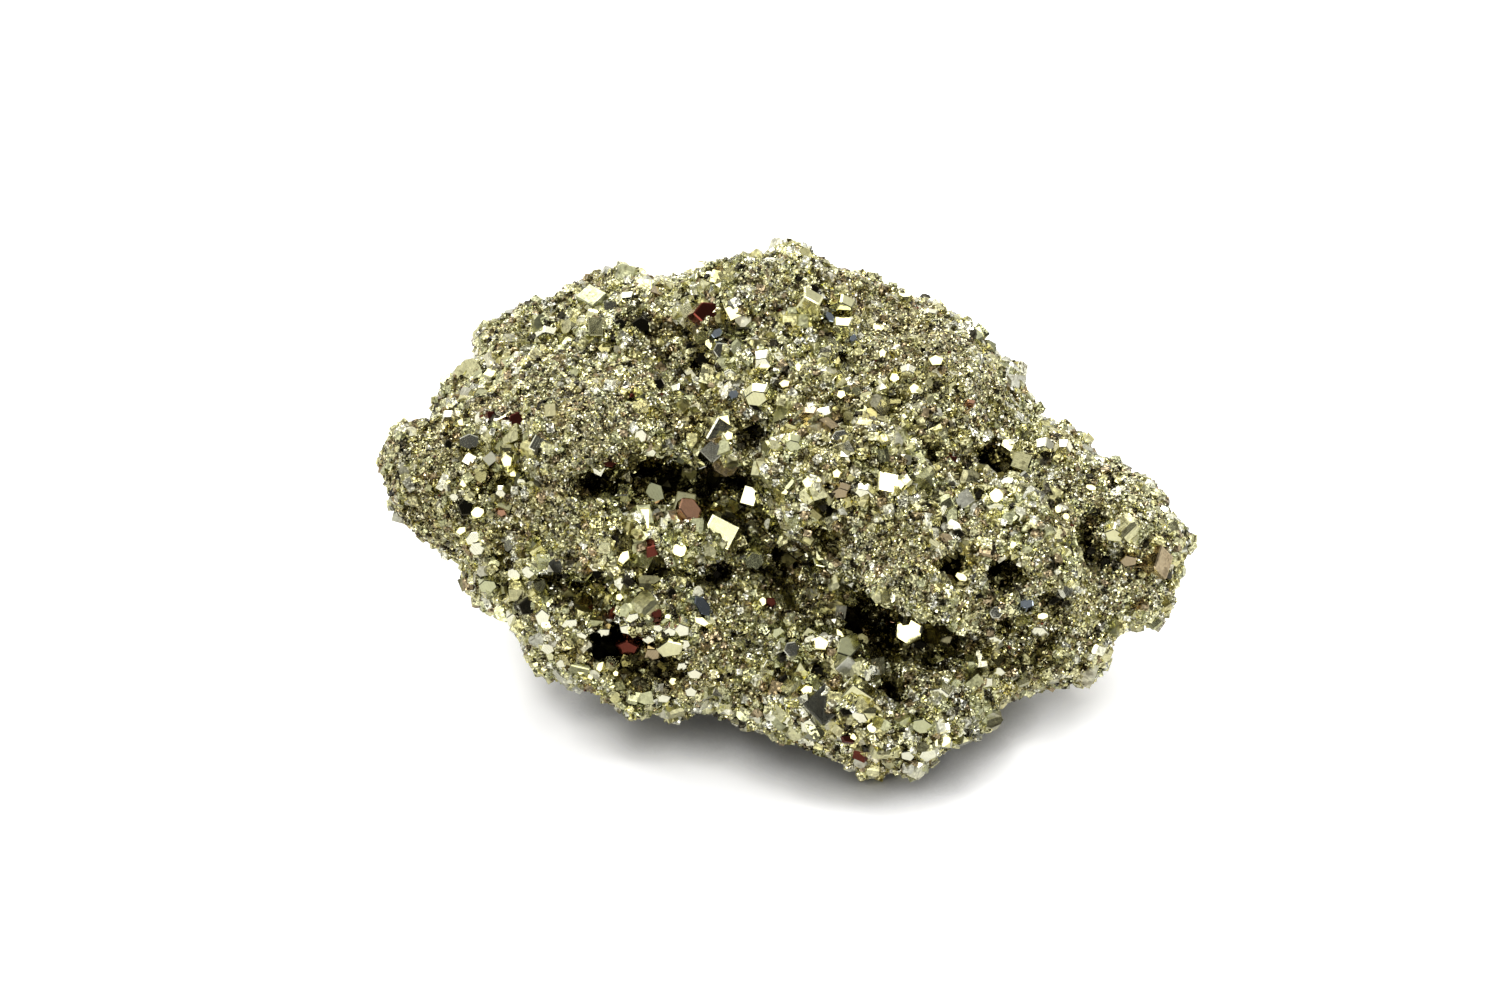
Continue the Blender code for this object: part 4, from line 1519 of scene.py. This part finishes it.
FACETS = (
    Facets(
        "pale wing facets", Habit.HEXAGON, Tone.PALE, Facing.FLOOR,
        (
            (449, 420, 14, 14), (480, 424, 9, 20), (480, 545, 18, 16), (474, 536, 12, 18),
            (528, 569, 13, 15), (515, 571, 14, 16), (522, 482, 9, 11), (501, 493, 10, 10),
            (454, 495, 9, 9),
        ),
    ),
    Facets(
        "pale foot facets", Habit.PENTAGON, Tone.PALE, Facing.FLOOR,
        (
            (544, 615, 15, 22), (571, 622, 18, 12), (515, 618, 14, 18), (581, 634, 14, 9),
            (602, 631, 18, 10), (613, 625, 14, 9), (629, 627, 16, 12), (633, 616, 15, 9),
            (649, 635, 14, 13), (658, 626, 10, 9), (671, 630, 13, 11), (682, 628, 15, 16),
            (548, 645, 14, 14), (562, 661, 11, 10), (684, 665, 12, 14), (695, 672, 15, 12),
            (692, 689, 12, 12), (662, 695, 18, 12), (684, 642, 12, 12),
        ),
    ),
    Facets(
        "pale facets by the hollow", Habit.HEXAGON, Tone.PALE, Facing.FLOOR,
        (
            (640, 433, 13, 17), (650, 449, 13, 12), (621, 467, 9, 13), (638, 479, 8, 8),
            (595, 565, 9, 10), (642, 598, 14, 10),
        ),
    ),
    Facets(
        "pale summit facets", Habit.PENTAGON, Tone.PALE, Facing.FLOOR,
        (
            (699, 297, 17, 10), (625, 301, 18, 12), (732, 372, 14, 14), (547, 336, 20, 14),
            (678, 393, 20, 13), (762, 362, 18, 18), (928, 315, 16, 9),
        ),
    ),
    Facets(
        "pale facets, middle and right", Habit.HEXAGON, Tone.PALE, Facing.FLOOR,
        (
            (844, 460, 14, 12), (864, 493, 20, 13), (981, 564, 16, 12), (1043, 451, 18, 20),
            (1063, 451, 15, 17), (1040, 629, 20, 16),
        ),
    ),
    Facets(
        "pale front facets", Habit.PENTAGON, Tone.PALE, Facing.FLOOR,
        (
            (759, 662, 12, 12), (773, 664, 18, 18), (808, 723, 16, 18), (786, 718, 14, 16),
            (859, 715, 18, 12), (917, 662, 10, 10), (964, 657, 13, 10), (984, 679, 18, 14),
            (999, 669, 14, 10), (938, 692, 22, 16), (908, 753, 14, 12), (928, 751, 18, 14),
            (994, 639, 16, 9),
        ),
    ),
    Facets(
        "glints, left", Habit.PENTAGON, Tone.GOLD, Facing.LAMP,
        (
            (463, 423, 11, 8), (465, 483, 11, 9), (462, 531, 12, 8), (591, 584, 9, 9), (620, 598, 8, 8),
            (642, 458, 11, 7), (601, 667, 8, 12), (542, 671, 9, 8), (673, 682, 8, 8), (633, 575, 8, 5),
            (591, 677, 7, 6), (545, 668, 7, 8), (536, 664, 6, 6), (616, 674, 6, 6),
        ),
    ),
    Facets(
        "glints, summit and middle", Habit.PENTAGON, Tone.GOLD, Facing.LAMP,
        (
            (878, 329, 13, 7), (798, 368, 7, 10), (895, 379, 10, 10), (785, 384, 12, 8),
            (882, 354, 8, 10), (729, 437, 10, 10), (791, 455, 8, 7), (809, 483, 14, 12), (817, 481, 9, 9),
            (836, 474, 9, 10), (899, 486, 12, 10), (915, 390, 11, 11),
        ),
    ),
    Facets(
        "glints, front and right", Habit.HEXAGON, Tone.GOLD, Facing.LAMP,
        (
            (762, 602, 8, 10), (780, 641, 6, 6), (852, 736, 12, 6), (962, 578, 14, 8), (1012, 545, 8, 8),
            (1091, 488, 12, 6), (1058, 510, 8, 8), (1066, 517, 8, 7), (1043, 616, 12, 7),
        ),
    ),
    # Painted reflection: near black faces that stand for the dark room.
    Facets(
        "black faces", Habit.PENTAGON, Tone.BLACK, Facing.ROOM,
        (
            (812, 290, 14, 11), (449, 445, 8, 10), (787, 680, 15, 13), (628, 580, 12, 12),
            (847, 710, 14, 10), (1075, 453, 8, 8), (658, 384, 12, 12), (638, 324, 14, 11),
            (821, 671, 12, 9), (1106, 563, 10, 10), (641, 326, 22, 16), (620, 324, 12, 10),
            (703, 360, 15, 18), (691, 347, 10, 10), (733, 345, 8, 7), (758, 407, 14, 7),
            (754, 432, 18, 10), (800, 280, 8, 7), (822, 505, 9, 14), (928, 506, 8, 4), (978, 495, 7, 7),
            (979, 539, 9, 8), (958, 534, 12, 9), (978, 594, 11, 8), (1055, 600, 16, 6), (920, 645, 14, 9),
            (1094, 511, 9, 8), (1091, 551, 10, 9), (714, 573, 13, 10), (616, 542, 7, 14),
            (597, 573, 10, 10), (672, 594, 9, 11), (565, 574, 6, 9),
        ),
    ),
    Facets(
        "dark grey faces", Habit.HEXAGON, Tone.GREY, Facing.ROOM,
        (
            (469, 442, 22, 16), (723, 351, 18, 16), (838, 438, 18, 14), (792, 648, 16, 16),
            (996, 611, 14, 12), (925, 629, 10, 12),
        ),
    ),
    Facets(
        "brown faces", Habit.PENTAGON, Tone.BROWN, Facing.FLOOR,
        (
            (840, 491, 18, 13), (1129, 558, 18, 14), (653, 653, 18, 18), (808, 416, 18, 12),
        ),
    ),
    # Painted reflection: dark red faces that stand for something warm.
    Facets(
        "dark red faces", Habit.PENTAGON, Tone.RED, Facing.WALL,
        (
            (515, 422, 14, 18), (492, 417, 9, 12), (607, 463, 18, 7), (615, 613, 16, 10),
            (849, 739, 14, 8), (949, 461, 16, 8),
        ),
    ),
    Facets(
        "blue faces", Habit.HEXAGON, Tone.BLUE, Facing.SKY,
        (
            (717, 334, 14, 9), (853, 339, 9, 6), (842, 349, 12, 6), (734, 395, 11, 9),
            (1025, 604, 15, 11),
        ),
    ),
    Facets(
        "olive faces", Habit.HEXAGON, Tone.OLIVE, Facing.FLOOR,
        (
            (489, 584, 18, 16), (780, 632, 14, 16), (969, 664, 16, 14), (667, 621, 11, 9),
            (923, 723, 22, 18), (882, 624, 10, 10), (795, 444, 18, 14),
        ),
    ),
    Facets(
        "copper faces", Habit.PENTAGON, Tone.COPPER, Facing.FLOOR,
        (
            (502, 511, 9, 9), (969, 405, 11, 8),
        ),
    ),
    Facets(
        "striped blocks", Habit.STEPPED_CUBE, Tone.BRASS, Facing.SKY,
        (
            (594, 328, 13, 18), (1020, 680, 12, 10),
        ),
    ),
)


@dataclass
class Growth:
    """Lets the crystals grow over the skin, the largest first, and keeps them apart.

    Attributes:
        skin: The skin that they grow on.
        shapes: The forms at size one.
        cell: Size of the cells in which room is booked, in metres.
        margin: How far the booked room goes beyond the skin, in metres.
        body: Room that a crystal takes from smaller ones, as a share of its size.
        aura: Room that a large crystal takes, over that of one of the same size in the grain.
        stand: How far a large crystal's middle stands over the skin, as a share of its least size.
        dullest: The most dullness of a large crystal.
        underside: How far a place faces down and how low it lies to be underneath, and the share there.
        limits: Least and most size of a crystal, over the usual size of its kind.
        clearance: How far a crystal stays off the ground, as a share of its size.
        sparkle: Share of the crystals that stay bright in the hollows.
        sparkle_light: Least and most light of these.
        unevenness: Least and most length of a crystal's sides, over its size.
        lean: How far the corners of the sugary grain lean.
    """

    skin: Skin
    shapes: dict[Habit, Shape]
    cell: float = 0.07 * MM
    margin: float = 2.0 * MM
    body: float = 0.40
    aura: float = 1.2
    stand: float = 0.15
    dullest: float = 0.6
    underside: Triple = (-0.6, 6 * MM, 0.35)
    limits: tuple[float, float] = (0.6, 1.6)
    clearance: float = 0.55
    sparkle: float = 0.14
    sparkle_light: tuple[float, float] = (0.3, 0.9)
    unevenness: tuple[float, float] = (0.82, 1.22)
    lean: float = 0.6
    grown: list[tuple[Array, float]] = field(default_factory=list)
    corner: Array = field(init=False)
    cells: Array = field(init=False)
    booked: Array = field(init=False)

    def __post_init__(self) -> None:
        """Measures the room around the skin."""
        low, high = self.skin.points.min(0), self.skin.points.max(0)
        self.corner = low - self.margin
        self.cells = np.ceil((high - low + 2 * self.margin) / self.cell).astype(int)

    def open_book(self) -> None:
        """Starts the room book anew, with the crystals that have grown so far."""
        self.booked = np.zeros(self.cells, bool)
        for place, size in self.grown:
            self.book(place, size * self.body)

    def book(self, place: Array, room: float) -> None:
        """Books the room around a crystal.

        Args:
            place: Its middle.
            room: The room's radius.
        """
        at = (place - self.corner) / self.cell
        reach = room / self.cell
        low = np.maximum(np.floor(at - reach).astype(int), 0)
        high = np.ceil(at + reach).astype(int) + 1
        grids = np.ogrid[low[0] : high[0], low[1] : high[1], low[2] : high[2]]
        near = sum((grid + 0.5 - centre) ** 2 for grid, centre in zip(grids, at)) < reach * reach
        view = self.booked[low[0] : high[0], low[1] : high[1], low[2] : high[2]]
        view |= near[: view.shape[0], : view.shape[1], : view.shape[2]]

    def settle(self, places: Array, sizes: Array, spacing: float) -> Array:
        """Keeps the places that still have room, in order, and books them.

        Args:
            places: The places tried.
            sizes: The crystals' sizes there.
            spacing: Least distance, as a share of their size.

        Returns:
            The numbers of the places kept.
        """
        cells = ((places - self.corner) / self.cell).astype(int)
        kept = []
        self.open_book()
        for i, (x, y, z) in enumerate(cells.tolist()):
            if not self.booked[x, y, z]:
                self.book(places[i], sizes[i] * spacing)
                kept.append(i)
        self.grown += [(places[i], sizes[i]) for i in kept]
        return np.array(kept, int)

    def place(self, material: bpy.types.Material) -> bpy.types.Object:
        """Sets the large crystals into the skin.

        Args:
            material: Their material.

        Returns:
            Their piece.
        """
        view = self.skin.view
        crystals = Crystals("large_crystals", self.shapes)
        chance = Seed.LARGE.start()
        lesser = [crystal for facets in FACETS for crystal in facets.crystals(chance)]
        for crystal in (*LARGE, *lesser):
            seat, normal = seen_at(self.skin.tree, view, *crystal.at)
            size = np.array(crystal.size) * view.pixel
            to_camera = (view.place - Vector(seat)).normalized()
            face = (to_camera + Vector(crystal.facing.value).normalized()).normalized()
            turn = face.to_track_quat("Z", "Y") @ Quaternion((0.0, 0.0, 1.0), math.radians(crystal.spin))
            centre = seat + normal * (self.stand * size.min())
            facts = {
                "tone": np.array([crystal.tone.value]),
                "openness": np.ones(1),
                "dullness": chance.uniform(0, self.dullest, 1),
            }
            crystals.add(crystal.habit, centre[None], np.array(turn.to_matrix())[None], size[None], facts)
            self.grown.append((centre, float(size[:2].mean()) * self.aura))
        return crystals.build(material)

    def wanted(self, grain: GrainSize, places: Array, normals: Array) -> Array:
        """Works out how likely a crystal of one size is at each place.

        Args:
            grain: The size.
            places: The places.
            normals: The skin's normals there.

        Returns:
            A share from 0 to 1 for each place.
        """
        middle, falloff = grain.level
        level = self.skin.coarseness.at(places)
        shares = grain.cover * np.exp(-(((level - middle) / falloff) ** 2))
        shares[level > middle] = np.maximum(shares, grain.cover * grain.filling)[level > middle]
        steep, low, left = self.underside
        shares[(normals[:, 2] < steep) & (places[:, 2] < low)] *= left
        return shares

    def grow(self, grain: GrainSize, chance: np.random.Generator, material: bpy.types.Material) -> list:
        """Grows all crystals of one size.

        Args:
            grain: The size.
            chance: The source of random numbers.
            material: Their material.

        Returns:
            The pieces.
        """
        places, normals, openness = self.skin.seats(grain.darts, chance)
        wanted = self.wanted(grain, places, normals)
        least, most = self.limits
        sizes = grain.size * np.exp(grain.spread * chance.normal(size=grain.darts))
        sizes = np.clip(sizes, grain.size * least, grain.size * most)
        usable = (chance.uniform(size=grain.darts) < wanted) & (places[:, 2] > sizes * self.clearance)
        places, normals, openness, sizes = (values[usable] for values in (places, normals, openness, sizes))
        kept = self.settle(places, sizes, grain.spacing)
        places, normals, openness, sizes = (values[kept] for values in (places, normals, openness, sizes))
        count = len(places)
        # Painted light: some crystals keep a lighter colour inside the painted shade of the hollows.
        sparkling = chance.uniform(size=count) < self.sparkle
        light = np.maximum(openness, chance.uniform(*self.sparkle_light, count))
        openness = np.where(sparkling, light, openness)
        centres = places + normals * (sizes * grain.rise)[:, None]
        leans = Habit.CORNER in grain.habits
        turns = leaning_turns(normals, self.lean, chance) if leans else random_turns(count, chance)
        lengths = sizes[:, None] * chance.uniform(*self.unevenness, (count, 3))
        tones = grain.tones.pick(count, chance)
        dullness = chance.uniform(0, 1, count)
        weights = np.array(list(grain.habits.values()), float)
        chosen = chance.choice(len(weights), count, p=weights / weights.sum())
        share = np.argsort(np.argsort(centres[:, 0])) * grain.pieces // max(count, 1)
        pieces = []
        for part in range(grain.pieces):
            crystals = Crystals(grain.name if grain.pieces == 1 else f"{grain.name}_{part + 1}", self.shapes)
            for number, habit in enumerate(grain.habits):
                mask = (chosen == number) & (share == part)
                facts = {"tone": tones[mask], "openness": openness[mask], "dullness": dullness[mask]}
                crystals.add(habit, centres[mask], turns[mask], lengths[mask], facts)
            pieces.append(crystals.build(material))
        LOG.info("%s: %d crystals", grain.name, count)
        return pieces


# ---------------------------------------------------------------------------------------------------
# Studio
# ---------------------------------------------------------------------------------------------------


@dataclass(frozen=True)
class SoftBox:
    """A soft lamp.

    Attributes:
        name: Its name.
        way: The way from the lump to it.
        size: Its width and height, in metres.
        power: Its power, in watts.
        distance: How far off it is, in metres.
    """

    name: str
    way: Triple
    size: tuple[float, float]
    power: float
    distance: float = 0.8

    def build(self) -> None:
        """Makes the lamp."""
        data = bpy.data.lights.new(self.name, "AREA")
        data.shape = "RECTANGLE"
        data.size, data.size_y = self.size
        data.energy = self.power
        way = Vector(self.way).normalized()
        aim(put_in(self.name, data), way * self.distance, -way)


@dataclass(frozen=True)
class Studio:
    """The pale floor, the soft light around the lump and the world behind it.

    Attributes:
        floor_size: Side of the floor, in metres.
        floor_colour: The floor's colour, as the lump mirrors it.
        floor_seen: The floor's colour as the camera sees it, bright enough to be overexposed.
        contact: How open the floor is right beside the lump, and how light its painted contact shadow then is.
        contact_reach: How far from the lump the painted contact shadow reaches, in metres.
        contact_samples: How many ways out are tried to see how open the floor is.
        lamps: The soft lamps.
        bright_way: The way to the brightest part of the world.
        dome: How much a way faces that part, from 0 to 1, and the world's brightness there.
        seen: The world's colour as the camera sees it.
    """

    floor_size: float = 4.0
    floor_colour: Triple = (0.88, 0.88, 0.88)
    floor_seen: Triple = (1.42, 1.42, 1.45)
    contact: tuple[float, float] = (0.30, 0.22)
    contact_reach: float = 4.5 * MM
    contact_samples: int = 4
    lamps: tuple[SoftBox, ...] = (
        SoftBox("back box", (-0.2, 0.75, 0.8), (0.50, 0.35), 2.5),
        SoftBox("left box", (-1.0, -0.2, 0.6), (0.28, 0.34), 0.55),
        SoftBox("right box", (1.0, 0.0, 0.7), (0.24, 0.34), 2.6),
        SoftBox("front box", (-0.2, -0.7, 1.2), (0.42, 0.34), 1.45),
        SoftBox("low box", (-0.15, -1.0, 0.3), (0.46, 0.26), 1.7),
    )
    bright_way: Triple = (-0.3, 0.75, 0.6)
    dome: tuple[tuple[float, float], ...] = (
        (0.0, 0.22), (0.2, 0.14), (0.38, 0.06), (0.6, 0.36), (0.8, 1.0), (1.0, 1.4)
    )
    seen: Triple = (1.0, 1.0, 1.0)

    def build_floor(self) -> None:
        """Makes the floor."""
        start_clean()
        bpy.ops.mesh.primitive_plane_add(size=self.floor_size)
        floor = bpy.context.object
        floor.name = "floor"
        paint = bpy.data.materials.new("white floor")
        paint.use_nodes = True
        tree = paint.node_tree
        tree.nodes.remove(tree.nodes["Principled BSDF"])
        reach = {"Distance": self.contact_reach}
        # Painted contact shadow: the floor that the camera sees is darker where the lump closes it in.
        near = add_node(tree, "AmbientOcclusion", reach, samples=self.contact_samples).outputs["AO"]
        least, most = self.contact
        shade = add_node(tree, "MapRange", {"Value": near, "From Min": least, "To Min": most}).outputs["Result"]
        lit = add_node(tree, "VectorMath", {0: self.floor_seen, "Scale": shade}, operation="SCALE").outputs[0]
        camera = add_node(tree, "LightPath").outputs["Is Camera Ray"]
        colours = {"Factor": camera, "A": (*self.floor_colour, 1.0), "B": lit}
        colour = add_node(tree, "Mix", colours, data_type="RGBA").outputs["Result"]
        paper = add_node(tree, "BsdfDiffuse", {"Color": colour})
        join(tree, tree.nodes["Material Output"], {"Surface": paper.outputs["BSDF"]})
        floor.data.materials.append(paint)

    def build_world(self) -> None:
        """Makes the world: bright overhead and behind, dim on the camera's side, white where it is seen."""
        world = bpy.data.worlds.new("studio")
        bpy.context.scene.world = world
        world.use_nodes = True
        tree = world.node_tree
        way = add_node(tree, "TexCoord").outputs["Generated"]
        bright = Vector(self.bright_way).normalized()
        facing = add_node(tree, "VectorMath", {0: way, 1: bright}, operation="DOT_PRODUCT").outputs["Value"]
        share = add_node(tree, "MapRange", {"Value": facing, "From Min": -1.0, "From Max": 1.0})
        ramp = add_node(tree, "ValToRGB", {"Fac": share.outputs["Result"]})
        entries = ramp.color_ramp.elements
        while len(entries) < len(self.dome):
            entries.new(0.5)
        for entry, (place, value) in zip(entries, self.dome):
            entry.position = place
            entry.color = (value, value, value, 1.0)
        camera = add_node(tree, "LightPath").outputs["Is Camera Ray"]
        colours = {"Factor": camera, "A": ramp.outputs["Color"], "B": (*self.seen, 1.0)}
        colour = add_node(tree, "Mix", colours, data_type="RGBA").outputs["Result"]
        join(tree, tree.nodes["Background"], {"Color": colour})

    def build(self) -> None:
        """Makes the floor, the world and the lamps."""
        self.build_floor()
        self.build_world()
        for lamp in self.lamps:
            lamp.build()
        bpy.context.scene.view_settings.view_transform = "Standard"


# ---------------------------------------------------------------------------------------------------
# The lump
# ---------------------------------------------------------------------------------------------------


def build_lump() -> None:
    """Makes the skin and all the crystals, and hands them to the frame."""
    groups = {"glitter": make_glitter(), "tarnish_and_painted_shade": make_tarnish_and_painted_shade(), "stripes": make_stripes()}
    finishes = {name: finish.build(groups) for name, finish in FINISHES.items()}
    shapes = CrystalModels().build()
    skin = Skin()
    pieces = [skin.build(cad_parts[NODE], finishes["skin"])]
    growth = Growth(skin, shapes)
    pieces.append(growth.place(finishes["face"]))
    for number, grain in enumerate(GRAIN_SIZES):
        pieces += growth.grow(grain, Seed.GRAIN.start(number), finishes[grain.finish])
    for piece in pieces:
        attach(piece, BODY)
        LOG.info("%s: %d triangles", piece.name, len(triangles_of(piece.data)))
    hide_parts(NODE)


def main() -> None:
    """Builds the scene."""
    logging.basicConfig(level=logging.INFO, format="%(message)s", stream=sys.stdout)
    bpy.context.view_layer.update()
    View().build()
    Studio().build()
    build_lump()


if __name__ == "__main__":
    main()
